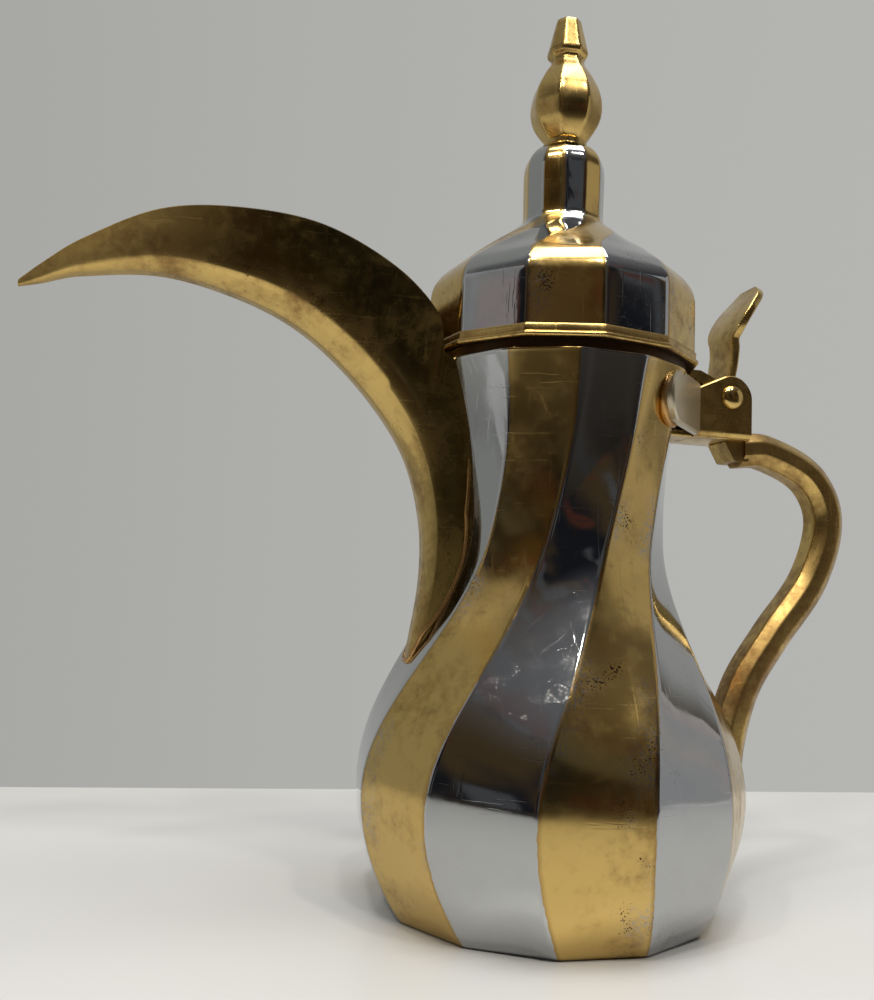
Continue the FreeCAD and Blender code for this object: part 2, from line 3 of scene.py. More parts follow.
import bmesh
import bpy
from mathutils import Matrix, Vector


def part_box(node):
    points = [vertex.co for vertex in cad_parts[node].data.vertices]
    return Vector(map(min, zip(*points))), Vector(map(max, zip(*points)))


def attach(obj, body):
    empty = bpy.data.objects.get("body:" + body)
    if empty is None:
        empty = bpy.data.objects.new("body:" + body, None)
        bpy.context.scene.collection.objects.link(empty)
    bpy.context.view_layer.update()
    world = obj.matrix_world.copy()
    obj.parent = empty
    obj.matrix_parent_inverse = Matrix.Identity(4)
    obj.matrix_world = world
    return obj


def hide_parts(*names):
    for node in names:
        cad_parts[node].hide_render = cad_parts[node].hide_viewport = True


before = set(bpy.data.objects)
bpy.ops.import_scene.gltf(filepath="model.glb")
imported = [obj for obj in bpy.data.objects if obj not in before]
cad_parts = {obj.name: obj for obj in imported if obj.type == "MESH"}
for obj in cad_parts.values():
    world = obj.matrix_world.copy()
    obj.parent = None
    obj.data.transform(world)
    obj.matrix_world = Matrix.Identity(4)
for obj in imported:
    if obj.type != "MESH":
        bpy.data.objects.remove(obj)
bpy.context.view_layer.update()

# A long-beaked coffee pot in gold and chrome plate. Sizes below are millimetres, on the pot's axis,
# with the handle along +X and the spout along -X; meshes are in metres.
MM = 0.001
SIDES = 12
PANEL = 2 * math.pi / SIDES
FLAT = math.cos(PANEL / 2)


def corners(node):
    """Lowest and highest corner of a CAD node, in millimetres."""
    low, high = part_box(node)
    return Vector(low) / MM, Vector(high) / MM


vessel_high = corners("vessel_shell")[1]
pin_low, pin_high = corners("hinge_pin")
bracket_low, bracket_high = corners("hinge_bracket")
spout_low = corners("spout")[0]
handle_high = corners("handle")[1]
flange_low, flange_high = corners("lid_flange")
finial_low, finial_high = corners("finial")
lever_high = corners("thumb_lever")[1]

RIM_Z = vessel_high.z
WALL = 1.2
RIM_ROUND = 0.8
IN_WALL = 0.6
BASE_RADIUS, BELLY_RADIUS, BELLY_Z = 50.5, 62.8, 37.0
BASE_INSET, BASE_BREAK, FLOOR_THICK = 1.0, 0.5, 1.6
EDGE_FILLET, RIM_SOFTER, SOFT_FROM_Z = 5.0, 12.0, 140
NECK_RADIUS, NECK_Z, RIM_RADIUS = 35.8, 118.0, 43.6
BODY_TWIST, RIM_TURN, TWIST_END = math.radians(40.7), math.radians(18), 0.9
BASE_TURN = math.radians(7)
LID_TURN, LID_TWIST = math.radians(-3.7), math.radians(44)
LID_CLEARANCE = 0.8
LID_ROOM = flange_high.x / math.cos(LID_TURN) + LID_CLEARANCE
POUR_WIDTH, POUR_HEIGHT, POUR_BOTTOM = 13.0, 46.0, 100.0
NECK_FORM_STEPS, NECK_FORM_ABOVE = 30, 4.0
PIN = Vector(((pin_low.x + pin_high.x) / 2, 0, (pin_low.z + pin_high.z) / 2))


# Mesh helpers
def smoothstep(t):
    t = min(1.0, max(0.0, t))
    return t * t * (3 - 2 * t)


def curve_through(points, count):
    """Evenly spread points on a smooth curve through the given ones, with end slopes kept natural."""
    points = [Vector(p) for p in points]
    spans = [0.0]
    for a, b in zip(points, points[1:]):
        spans.append(spans[-1] + max((b - a).length, 1e-6) ** 0.5)
    slopes = []
    for i in range(len(points)):
        a, b = max(0, i - 1), min(len(points) - 1, i + 1)
        slopes.append((points[b] - points[a]) / (spans[b] - spans[a]))
    result = []
    for step in range(count):
        s = spans[-1] * step / (count - 1)
        i = next((k for k in range(len(spans) - 1) if s <= spans[k + 1]), len(spans) - 2)
        width = spans[i + 1] - spans[i]
        t = (s - spans[i]) / width
        h = (2 * t ** 3 - 3 * t ** 2 + 1, t ** 3 - 2 * t ** 2 + t, -2 * t ** 3 + 3 * t ** 2, t ** 3 - t ** 2)
        result.append(points[i] * h[0] + slopes[i] * width * h[1] + points[i + 1] * h[2]
                      + slopes[i + 1] * width * h[3])
    return result


def rounded(points, fillet, steps=3):
    """A flat closed outline with each corner rounded by a small arc."""
    ring = []
    count = len(points)
    for i, corner in enumerate(points):
        before = points[i - 1] - corner
        after = points[(i + 1) % count] - corner
        reach = min(fillet, before.length * 0.45, after.length * 0.45)
        start, end = corner + before.normalized() * reach, corner + after.normalized() * reach
        for k in range(steps + 1):
            t = k / steps
            ring.append(start * (1 - t) ** 2 + corner * 2 * t * (1 - t) + end * t * t)
    return ring


def polygon_ring(radius, z, turn, sides, fillet, per_corner=4, per_flat=4):
    """A regular polygon with rounded corners at one height: (point, place across the panels)."""
    half = math.pi / sides
    fillet = min(fillet, radius * 0.9)
    centre = radius - fillet / math.cos(half)
    ring = []
    for k in range(sides):
        corner = turn + 2 * half * k
        for i in range(per_corner + 1):
            a = corner - half + 2 * half * i / per_corner
            x = centre * math.cos(corner) + fillet * math.cos(a)
            y = centre * math.sin(corner) + fillet * math.sin(a)
            ring.append([x, y])
        following = corner + 2 * half
        end = (centre * math.cos(following) + fillet * math.cos(following - half),
               centre * math.sin(following) + fillet * math.sin(following - half))
        x0, y0 = ring[-1]
        for i in range(1, per_flat):
            t = i / per_flat
            ring.append([x0 + (end[0] - x0) * t, y0 + (end[1] - y0) * t])
    whole = 2 * math.pi
    first = (math.atan2(ring[0][1], ring[0][0]) - turn + math.pi) % whole - math.pi
    places = []
    for x, y in ring:
        angle = first + (math.atan2(y, x) - turn - first + 1e-6) % whole
        places.append((Vector((x, y, z)), angle / (2 * half)))
    return places


def add_skin(mesh, rings, places=None, closed=True, material=0):
    """Faces between rows of points. places, where given, are the UVs across and along, and the step across
    from a row's end to its start."""
    uv = mesh.loops.layers.uv.get("Panels") or mesh.loops.layers.uv.new("Panels")
    grid = [[mesh.verts.new(p * MM) for p in ring] for ring in rings]
    columns = len(rings[0])
    for r in range(len(rings) - 1):
        for c in range(columns if closed else columns - 1):
            d = (c + 1) % columns
            face = mesh.faces.new((grid[r][c], grid[r][d], grid[r + 1][d], grid[r + 1][c]))
            face.smooth = True
            face.material_index = material
            if places:
                wrap = places[2] if d == 0 else 0.0
                here, above = places[0][r], places[0][r + 1]
                across = (here[c], here[d] + wrap, above[d] + wrap, above[c])
                along = (places[1][r], places[1][r], places[1][r + 1], places[1][r + 1])
                for loop, u, v in zip(face.loops, across, along):
                    loop[uv].uv = (u, v)
    return grid


def cap(mesh, ring, flip=False):
    face = mesh.faces.new(ring[::-1] if flip else ring)
    face.smooth = False
    return face


def close_ends(mesh, grid):
    """Flat faces over the first and the last row."""
    cap(mesh, grid[0])
    cap(mesh, grid[-1], flip=True)


def finish_piece(mesh, name, body, materials, replaced=(), crease=None):
    """Turn a bmesh into a piece that rides on a body and stands for CAD nodes."""
    bmesh.ops.remove_doubles(mesh, verts=mesh.verts, dist=1e-7)
    bmesh.ops.recalc_face_normals(mesh, faces=mesh.faces)
    data = bpy.data.meshes.new(name)
    mesh.to_mesh(data)
    mesh.free()
    piece = bpy.data.objects.new(name, data)
    bpy.context.scene.collection.objects.link(piece)
    for material in materials:
        data.materials.append(material)
    if crease is not None:
        data.set_sharp_from_angle(angle=math.radians(crease))
    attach(piece, body)
    if replaced:
        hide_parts(*replaced)
    return piece


BEAD_RADIUS, BEAD_END = 0.85, 0.35


def tube(mesh, path, radii, sides=10):
    """A round bead along a path, with a radius for each point, closed at both ends."""
    rings = []
    for i, at in enumerate(path):
        way = (path[min(i + 1, len(path) - 1)] - path[max(i - 1, 0)]).normalized()
        side = way.cross(Vector((0, 0, 1)))
        side = side.normalized() if side.length > 1e-4 else Vector((0, 1, 0))
        up = side.cross(way)
        r = radii[i] * (BEAD_END if i in (0, len(path) - 1) else 1.0)
        rings.append([at + (side * math.cos(a) + up * math.sin(a)) * r
                      for a in (2 * math.pi * k / sides for k in range(sides))])
    grid = add_skin(mesh, rings)
    close_ends(mesh, grid)


def offset_ring(ring, inset):
    """A flat outline of (u, v) points moved inwards along its own normals."""
    moved = []
    for i, at in enumerate(ring):
        way = (ring[(i + 1) % len(ring)] - ring[i - 1]).normalized()
        moved.append(at + Vector((-way.y, way.x)) * inset)
    return moved


def plate(mesh, outline, thickness, place, bevel=0.4):
    """A flat plate with its edges broken. outline runs anticlockwise, and place puts (u, v, depth) on
    the pot."""
    inner = offset_ring(outline, bevel)
    half = thickness / 2
    rows = ((inner, -half), (outline, bevel - half), (outline, half - bevel), (inner, half))
    grid = add_skin(mesh, [[place(p.x, p.y, depth) for p in ring] for ring, depth in rows])
    close_ends(mesh, grid)


def arc(centre, radius, start, end, steps):
    """Points on an arc, angles in degrees."""
    angles = [math.radians(start + (end - start) * k / steps) for k in range(steps + 1)]
    return [Vector((centre[0] + radius * math.cos(a), centre[1] + radius * math.sin(a))) for a in angles]


# Materials
def mask_group(name):
    """A shared node group that makes a mask from a place and an amount: (tree, input node, output node)."""
    tree = bpy.data.node_groups.new(name, "ShaderNodeTree")
    tree.interface.new_socket("Vector", in_out="INPUT", socket_type="NodeSocketVector")
    amount = tree.interface.new_socket("Amount", in_out="INPUT", socket_type="NodeSocketFloat")
    amount.default_value = 0.5
    tree.interface.new_socket("Mask", in_out="OUTPUT", socket_type="NodeSocketFloat")
    return tree, tree.nodes.new("NodeGroupInput"), tree.nodes.new("NodeGroupOutput")


def node(tree, kind, **settings):
    made = tree.nodes.new(kind)
    for key, value in settings.items():
        setattr(made, key, value)
    return made


def math_node(tree, operation, a, b=None, clamp=False):
    made = node(tree, "ShaderNodeMath", operation=operation, use_clamp=clamp)
    for socket, value in zip(made.inputs, (a, b)):
        if value is None:
            continue
        if isinstance(value, (int, float)):
            socket.default_value = value
        else:
            tree.links.new(value, socket)
    return made.outputs[0]


def ramp(tree, value, low, high):
    """A smooth rise from 0 at low to 1 at high."""
    made = node(tree, "ShaderNodeMapRange", interpolation_type="SMOOTHSTEP")
    tree.links.new(value, made.inputs["Value"])
    made.inputs["From Min"].default_value = low
    made.inputs["From Max"].default_value = high
    return made.outputs["Result"]


def scaled(tree, value, share):
    return math_node(tree, "MULTIPLY", value, share)


def noise(tree, vector, scale, detail=4.0, roughness=0.55):
    made = node(tree, "ShaderNodeTexNoise")
    made.inputs["Scale"].default_value = scale
    made.inputs["Detail"].default_value = detail
    made.inputs["Roughness"].default_value = roughness
    tree.links.new(vector, made.inputs["Vector"])
    return made.outputs["Fac"]


def tarnish_group():
    """Brown clouds with finer mottling inside them."""
    tree, given, out = mask_group("Tarnish")
    broad = noise(tree, given.outputs["Vector"], 38.0, 5.0, 0.6)
    fine = noise(tree, given.outputs["Vector"], 260.0, 6.0, 0.7)
    both = math_node(tree, "ADD", scaled(tree, broad, 0.62), scaled(tree, fine, 0.38))
    shifted = math_node(tree, "ADD", both, scaled(tree, given.outputs["Amount"], 0.3))
    tree.links.new(ramp(tree, shifted, 0.56, 0.84), out.inputs["Mask"])
    return tree


def pits_group():
    """Small dark specks where the plating has failed, gathered in patches."""
    tree, given, out = mask_group("Pits")
    cells = node(tree, "ShaderNodeTexVoronoi", feature="F1")
    cells.inputs["Scale"].default_value = 1300.0
    cells.inputs["Randomness"].default_value = 1.0
    tree.links.new(given.outputs["Vector"], cells.inputs["Vector"])
    patches = noise(tree, given.outputs["Vector"], 55.0, 6.0, 0.7)
    near = math_node(tree, "SUBTRACT", 1.0, cells.outputs["Distance"])
    dense = math_node(tree, "MULTIPLY", ramp(tree, patches, 0.5, 0.72), given.outputs["Amount"])
    speck = math_node(tree, "ADD", scaled(tree, near, 0.7), scaled(tree, dense, 0.5))
    tree.links.new(ramp(tree, speck, 0.72, 0.8), out.inputs["Mask"])
    return tree


def scratch_group():
    """Fine handling scratches in three crossing directions."""
    tree, given, out = mask_group("Scratches")
    total = None
    courses = ((0.5, (900.0, 60.0, 40.0)), (-0.9, (40.0, 800.0, 70.0)), (1.7, (60.0, 60.0, 1000.0)))
    for turn, stretch in courses:
        mapping = node(tree, "ShaderNodeMapping")
        mapping.inputs["Rotation"].default_value = (turn, turn * 0.6, turn)
        mapping.inputs["Scale"].default_value = stretch
        tree.links.new(given.outputs["Vector"], mapping.inputs["Vector"])
        line = ramp(tree, noise(tree, mapping.outputs["Vector"], 1.0, 2.0, 0.5), 0.66, 0.72)
        total = line if total is None else math_node(tree, "MAXIMUM", total, line)
    tree.links.new(math_node(tree, "MULTIPLY", total, given.outputs["Amount"]), out.inputs["Mask"])
    return tree


TARNISH, PITS, SCRATCHES = tarnish_group(), pits_group(), scratch_group()


def use_group(tree, shared, vector, amount):
    made = node(tree, "ShaderNodeGroup", node_tree=shared)
    tree.links.new(vector, made.inputs["Vector"])
    made.inputs["Amount"].default_value = amount
    return made.outputs["Mask"]


def mix_colour(tree, factor, a, b):
    made = node(tree, "ShaderNodeMix", data_type="RGBA")
    for socket, value in ((made.inputs[0], factor), (made.inputs[6], a), (made.inputs[7], b)):
        if isinstance(value, (tuple, int, float)):
            socket.default_value = value
        else:
            tree.links.new(value, socket)
    return made.outputs[2]


def mix_value(tree, factor, a, b):
    made = node(tree, "ShaderNodeMix", data_type="FLOAT")
    for socket, value in ((made.inputs[0], factor), (made.inputs[2], a), (made.inputs[3], b)):
        if isinstance(value, (int, float)):
            socket.default_value = value
        else:
            tree.links.new(value, socket)
    return made.outputs[0]


GOLD = (0.60, 0.42, 0.145, 1.0)
GOLD_TARNISH = (0.22, 0.125, 0.045, 1.0)
GOLD_PIT = (0.06, 0.03, 0.012, 1.0)
# Dark of the beak's flanks: partly tarnish, partly painted shade.
GOLD_PATINA_AND_SHADE = (0.15, 0.105, 0.03, 1.0)
# Near-black painted shade for the gap under the lid: the seat ring and the flange's underside.
SEAT_SHADE_DARK = (0.045, 0.032, 0.018, 1.0)
COPPER = (0.47, 0.27, 0.10, 1.0)
CHROME = (0.44, 0.45, 0.452, 1.0)
CHROME_DULL = (0.33, 0.34, 0.36, 1.0)
CHROME_WARM = (0.56, 0.50, 0.37, 1.0)


# Roughness added by haze, and the roughness of tarnished gold and of the beak's rubbed tip.
GOLD_HAZE, CHROME_HAZE = 0.12, 0.08
TARNISH_ROUGH, TIP_ROUGH, SCRATCH_ROUGH = 0.42, 0.45, 0.12
BUMP_STRENGTH, BUMP_DEPTH = 0.12, 0.0002


def panel_uv(tree):
    """The panel UVs, split: X across and Y along."""
    split = node(tree, "ShaderNodeSeparateXYZ")
    tree.links.new(node(tree, "ShaderNodeUVMap", uv_map="Panels").outputs["UV"], split.inputs["Vector"])
    return split.outputs


def plated(name, tarnish=0.5, pits=0.5, scratches=0.5, gold_rough=0.16, panels=None, chrome_only=False,
           gold=None, chrome=None, chrome_rough=0.045, patina_and_shade=0.0):
    """Gold or chrome plate. panels gives the phase of alternating gold and chrome panels on the UVs.
    The last argument sets how far a beak's flanks darken from the tip inwards, above the keel; the darkening
    is partly tarnish and partly painted shade."""
    material = bpy.data.materials.new(name)
    material.use_nodes = True
    tree = material.node_tree
    shader = tree.nodes["Principled BSDF"]
    shader.inputs["Metallic"].default_value = 1.0
    where = node(tree, "ShaderNodeTexCoord").outputs["Object"]
    stain = use_group(tree, TARNISH, where, tarnish)
    speck = use_group(tree, PITS, where, pits)
    marks = use_group(tree, SCRATCHES, where, scratches)
    haze = ramp(tree, noise(tree, where, 90.0, 5.0, 0.65), 0.4, 0.8)

    stain_colour = GOLD_PIT if gold == SEAT_SHADE_DARK else GOLD_TARNISH
    gold = mix_colour(tree, speck, mix_colour(tree, stain, gold or GOLD, stain_colour), GOLD_PIT)
    hazy_gold = mix_value(tree, haze, gold_rough, gold_rough + GOLD_HAZE)
    gold_gloss = mix_value(tree, stain, hazy_gold, TARNISH_ROUGH)
    # Painted shade with some tarnish: the beak's flanks above the keel darken from the tip inwards.
    if patina_and_shade:
        beak = panel_uv(tree)
        towards_foot = ramp(tree, beak["Y"], 0.52, 0.74)
        low_flank = math_node(tree, "MULTIPLY", towards_foot, ramp(tree, beak["X"], 0.03, 0.2))
        flank = math_node(tree, "MAXIMUM", ramp(tree, beak["X"], 0.16, 0.5), low_flank)
        inwards = ramp(tree, beak["Y"], 0.14, 0.34)
        flank_patina_and_shade = scaled(tree, math_node(tree, "MULTIPLY", flank, inwards), patina_and_shade)
        gold = mix_colour(tree, flank_patina_and_shade, gold, GOLD_PATINA_AND_SHADE)
        gold_gloss = mix_value(tree, inwards, TIP_ROUGH, gold_gloss)
    hazed = mix_colour(tree, scaled(tree, haze, 0.25), chrome or CHROME, CHROME_DULL)
    chrome = mix_colour(tree, scaled(tree, speck, 0.35), hazed, GOLD_PIT)
    chrome_gloss = mix_value(tree, haze, chrome_rough, chrome_rough + CHROME_HAZE)

    if panels is None:
        colour, gloss = (chrome, chrome_gloss) if chrome_only else (gold, gold_gloss)
    else:
        wobble = scaled(tree, math_node(tree, "SUBTRACT", noise(tree, where, 400.0, 3.0), 0.5), 0.03)
        phase = math_node(tree, "ADD", panel_uv(tree)["X"], float(panels))
        place = math_node(tree, "ADD", phase, wobble)
        saw = math_node(tree, "PINGPONG", place, 1.0)
        wave = math_node(tree, "FRACT", scaled(tree, place, 0.5))
        is_gold = math_node(tree, "LESS_THAN", wave, 0.5)
        edge = math_node(tree, "MINIMUM", saw, math_node(tree, "SUBTRACT", 1.0, saw))
        worn = scaled(tree, ramp(tree, edge, 0.05, 0.0), 0.5)
        rubbed = math_node(tree, "MULTIPLY", ramp(tree, edge, 0.42, 0.05),
                           ramp(tree, noise(tree, where, 28.0, 3.0, 0.6), 0.5, 0.62))
        grain = ramp(tree, noise(tree, where, 1100.0, 4.0, 0.7), 0.5, 0.56)
        flecks = math_node(tree, "MULTIPLY", rubbed, grain)
        gold = mix_colour(tree, scaled(tree, flecks, 0.75), gold, CHROME_DULL)
        colour = mix_colour(tree, is_gold, chrome, mix_colour(tree, worn, gold, GOLD_TARNISH))
        gloss = mix_value(tree, is_gold, chrome_gloss, gold_gloss)
    tree.links.new(colour, shader.inputs["Base Color"])
    scuffed = math_node(tree, "ADD", gloss, scaled(tree, marks, SCRATCH_ROUGH), clamp=True)
    tree.links.new(scuffed, shader.inputs["Roughness"])
    bump = node(tree, "ShaderNodeBump")
    bump.inputs["Strength"].default_value = BUMP_STRENGTH
    bump.inputs["Distance"].default_value = BUMP_DEPTH
    height = math_node(tree, "SUBTRACT", scaled(tree, noise(tree, where, 120.0, 3.0), 0.5),
                       math_node(tree, "ADD", marks, speck))
    tree.links.new(height, bump.inputs["Height"])
    tree.links.new(bump.outputs["Normal"], shader.inputs["Normal"])
    return material


BODY_PLATE = plated("body_plate", tarnish=0.25, pits=0.8, scratches=0.35, gold_rough=0.14, panels=1)
LID_PLATE = plated("lid_plate", tarnish=0.25, pits=0.8, scratches=0.35, gold_rough=0.13, panels=0)
CHROME_PLATE = plated("chrome_plate", scratches=0.5, pits=0.3, chrome_only=True)
GOLD_PLATE = plated("gold_plate", tarnish=0.45, pits=0.5, scratches=0.5, gold_rough=0.17)
# The spout's flanks carry painted shade on top of their tarnish.
SPOUT_GOLD = plated("spout_gold", tarnish=0.45, pits=0.7, scratches=0.4, gold_rough=0.15, patina_and_shade=0.8)
HANDLE_GOLD = plated("handle_gold", tarnish=0.7, pits=0.4, scratches=0.6, gold_rough=0.22)
BRIGHT_GOLD = plated("bright_gold", tarnish=0.1, pits=0.2, scratches=0.3, gold_rough=0.12)
BRAZE = plated("braze_copper", tarnish=0.3, pits=0.3, scratches=0.2, gold_rough=0.25, gold=COPPER)
# Painted shade: the seat ring and the flange's underside are near-black as the gap under the lid.
SHADED_SEAT = plated("seat_painted_shade", tarnish=0.8, pits=0.6, scratches=0.2, gold_rough=0.5, gold=SEAT_SHADE_DARK)
WORN_CHROME = plated("worn_chrome", scratches=0.8, pits=0.5, chrome_only=True, chrome=CHROME_WARM,
                     chrome_rough=0.34)
DULL_INSIDE = plated("dull_inside", scratches=0.6, pits=0.4, chrome_only=True, chrome_rough=0.28)
STEEL = plated("plain_steel", scratches=0.8, pits=0.2, chrome_only=True)


# Body
def body_radius(z):
    """Corner radius of the body at a height."""
    if z < BELLY_Z:
        rise = math.sin(math.pi / 2 * max(0.0, z) / BELLY_Z) ** 0.8
        return BASE_RADIUS + (BELLY_RADIUS - BASE_RADIUS) * rise
    if z < NECK_Z:
        t = (z - BELLY_Z) / (NECK_Z - BELLY_Z)
        return NECK_RADIUS + (BELLY_RADIUS - NECK_RADIUS) * (1 + math.cos(math.pi * t)) / 2
    t = (z - NECK_Z) / (RIM_Z - NECK_Z)
    return NECK_RADIUS + (RIM_RADIUS - NECK_RADIUS) * t * t


def body_turn(z):
    """How far the body's corners are turned at a height; below the belly they turn back."""
    foot = BASE_TURN * max(0.0, 1 - z / BELLY_Z) ** 2
    return RIM_TURN - BODY_TWIST * (1 - smoothstep((z - BELLY_Z) / (RIM_Z - BELLY_Z) / TWIST_END)) + foot


def body_fillet(z):
    """The panel edges are crisp at the belly and soften towards the rim."""
    return EDGE_FILLET + RIM_SOFTER * smoothstep((z - SOFT_FROM_Z) / (RIM_Z - SOFT_FROM_Z))


def body_surface(at):
    """How far a point lies outside the body's flats and edges."""
    angle = math.atan2(at.y, at.x) - body_turn(at.z)
    angle = (angle + PANEL / 2) % PANEL - PANEL / 2
    reach = body_radius(at.z) * FLAT / math.cos(PANEL / 2 - abs(angle))
    return math.hypot(at.x, at.y) - reach


def onto_wall(at, depth):
    """A point inside the body, moved out to a depth under its surface, or out of the lid's room."""
    flat = Vector((at.x, at.y, 0))
    if at.z > RIM_Z:
        return at + flat.normalized() * max(0.0, LID_ROOM - flat.length)
    gap = body_surface(at)
    if gap > -depth:
        return at
    return at + flat.normalized() * (-depth - gap)


def cut_away(piece, tool_mesh):
    """Cut a closed form out of a piece for good."""
    bmesh.ops.recalc_face_normals(tool_mesh, faces=tool_mesh.faces)
    data = bpy.data.meshes.new("tool")
    tool_mesh.to_mesh(data)
    tool_mesh.free()
    tool = bpy.data.objects.new("tool", data)
    bpy.context.scene.collection.objects.link(tool)
    change = piece.modifiers.new("cut", "BOOLEAN")
    change.object = tool
    change.solver = "EXACT"
    bpy.context.view_layer.update()
    cut_piece = piece.evaluated_get(bpy.context.evaluated_depsgraph_get())
    cut_data = bpy.data.meshes.new_from_object(cut_piece)
    piece.modifiers.remove(change)
    bpy.data.objects.remove(tool)
    piece.data = cut_data


def neck_form():
    """A closed form in the middle of the neck's wall, which cuts off what is brazed on to it."""
    mesh = bmesh.new()
    rings = []
    for step in range(NECK_FORM_STEPS + 1):
        z = NECK_Z + (RIM_Z + NECK_FORM_ABOVE - NECK_Z) * step / NECK_FORM_STEPS
        at = min(z, RIM_Z)
        made = polygon_ring(body_radius(at) - WALL / 2, z, body_turn(at), SIDES, body_fillet(at))
        rings.append([p for p, u in made])
    grid = add_skin(mesh, rings)
    close_ends(mesh, grid)
    return mesh


def build_vessel():
    """The twisted body with its rim and inside, and the pour opening cut through the neck."""
    mesh = bmesh.new()
    wall_top = RIM_Z - RIM_ROUND
    heights = [0.0, 0.25, 0.8, 1.8, 3.5, 6.0, 9.0] + [12 + 2.2 * k for k in range(72)]
    heights += [RIM_Z - 2 * RIM_ROUND, wall_top]
    heights = sorted(set(min(h, wall_top) for h in heights))
    rings, across, along = [], [], []

    def ring(radius, z, turn_z, fillet):
        made = polygon_ring(radius, z, body_turn(turn_z), SIDES, fillet)
        rings.append([p for p, u in made])
        across.append([u for p, u in made])
        along.append(z * MM)

    ring(BASE_RADIUS - BASE_INSET, 0.0, 0.0, EDGE_FILLET)
    for z in heights:
        ring(body_radius(z) - (BASE_BREAK if z == 0.0 else 0.0), z, z, body_fillet(z))
    lip = WALL / 2
    for k in range(1, 6):
        a = math.pi * k / 6
        radius = body_radius(RIM_Z) - lip + lip * math.cos(a)
        ring(radius, wall_top + RIM_ROUND * math.sin(a), RIM_Z, body_fillet(RIM_Z))
    shown = len(rings)
    for z in [h for h in heights[::-1] if h > 2.0]:
        ring(body_radius(z) - WALL / FLAT, z, z, body_fillet(z))
    for row in (rings, across, along):
        row.append(row[0])
    add_skin(mesh, rings[:shown], (across[:shown], along[:shown], float(SIDES)))
    add_skin(mesh, rings[shown - 1:], material=1)
    vessel = finish_piece(mesh, "vessel_body", "pot", [BODY_PLATE, DULL_INSIDE], ["vessel_shell"])
    slot = bmesh.new()
    half, low, high = POUR_WIDTH / 2, POUR_BOTTOM, POUR_BOTTOM + POUR_HEIGHT
    outline = arc((0, low + half), half, 180, 360, 12) + arc((0, high - half), half, 0, 180, 12)
    plate(slot, outline, NECK_RADIUS, lambda u, v, d: Vector((-NECK_RADIUS + d, u, v)))
    cut_away(vessel, slot)


def build_floor():
    """The base plate, slightly dished underneath."""
    mesh = bmesh.new()
    turn = body_turn(0)
    low = [p for p, u in polygon_ring(BASE_RADIUS - BASE_INSET, 0.0, turn, SIDES, EDGE_FILLET)]
    high = [p for p, u in polygon_ring(BASE_RADIUS - 0.6, FLOOR_THICK, turn, SIDES, EDGE_FILLET)]
    dish = [p * 0.8 + Vector((0, 0, 0.25)) for p in low]
    grid = add_skin(mesh, [dish, low, high])
    close_ends(mesh, grid)
    finish_piece(mesh, "base_plate", "pot", [CHROME_PLATE], ["base_disc"], crease=40)


# Spout
SPOUT_WALL = 1.3
SPOUT_KEEL = 5.0
SPOUT_HALF, SPOUT_FOOT = 14.0, 69.0
SPOUT_CREST, SPOUT_TIP, TIP_DEPTH = 40.0, 11.2, 1.4
SPOUT_ROWS, FLANK_STEPS, SOLDER_STEPS = 96, 15, 160


def spout_sections(count):
    """Lip point, keel point and half width, from the tip to the foot on the body."""
    reach, crest, tip, foot, deep = -spout_low.x, SPOUT_CREST, SPOUT_TIP, SPOUT_FOOT, TIP_DEPTH
    rim, neck = RIM_Z, NECK_RADIUS
    run, drop = reach - neck, rim - foot

    def out(share):
        return -(neck + run * share)

    lips = ((out(1.0), rim + tip + deep), (out(0.95), rim + tip + 5.2 * deep),
            (out(0.87), rim + 0.66 * crest), (out(0.71), rim + 0.93 * crest), (out(0.54), rim + crest),
            (out(0.355), rim + 0.94 * crest), (out(0.19), rim + 0.69 * crest),
            (out(0.085), rim + 0.38 * crest), (out(0.0), rim - 0.04 * drop),
            (-0.82 * neck, rim - 0.27 * drop), (-0.76 * neck, rim - 0.55 * drop),
            (-0.85 * neck, rim - 0.8 * drop), (-neck, foot + 2.5))
    keels = ((out(1.0), rim + tip), (out(0.955), rim + tip + 1.3 * deep),
             (out(0.875), rim + 0.42 * crest), (out(0.705), rim + 0.49 * crest),
             (out(0.54), rim + 0.39 * crest), (out(0.405), rim + 0.21 * crest),
             (out(0.29), rim - 0.07 * crest), (out(0.18), rim - 0.18 * drop),
             (out(0.11), rim - 0.33 * drop), (out(0.072), rim - 0.52 * drop),
             (out(0.069), rim - 0.69 * drop), (out(0.088), rim - 0.87 * drop), (out(0.102), foot))
    widths = (0.08, 0.2, 0.36, 0.6, 0.78, 0.91, 0.98, 1.0, 1.0, 0.96, 0.82, 0.56, 0.24)
    rows = []
    for (lx, lz), (kx, kz), w in zip(lips, keels, widths):
        rows.append((Vector((lx, w * SPOUT_HALF, lz)), Vector((kx, 0, kz))))
    lip_line = curve_through([r[0] for r in rows], count)
    keel_line = curve_through([r[1] for r in rows], count)
    return [(Vector((lip.x, 0, lip.z)), keel, max(0.8, lip.y)) for lip, keel in zip(lip_line, keel_line)]


def trough_side(lip, keel, half, inset, steps):
    """One flank of a trough section, from the middle of the keel to the lip."""
    up = lip - keel
    depth = up.length
    up.normalize()
    inset_keel = min(inset, 0.35 * depth)
    inset_side = min(inset, 0.5 * half)
    half = half - inset_side
    keel_half = max(0.3, min(SPOUT_KEEL / 2 - inset, 0.45 * half))
    low = keel + up * inset_keel
    tall = depth - inset_keel
    shape = ((0.0, 0.0, 0.0), (keel_half, 0.0, 0.004), (keel_half + 0.6 * (half - keel_half), 0.0, 0.11),
             (0.92 * half, 0.0, 0.3), (half, 0.0, 1.0))
    return [low + up * (tall * max(0.0, p.z)) + Vector((0, p.x, 0)) for p in curve_through(shape, steps)]


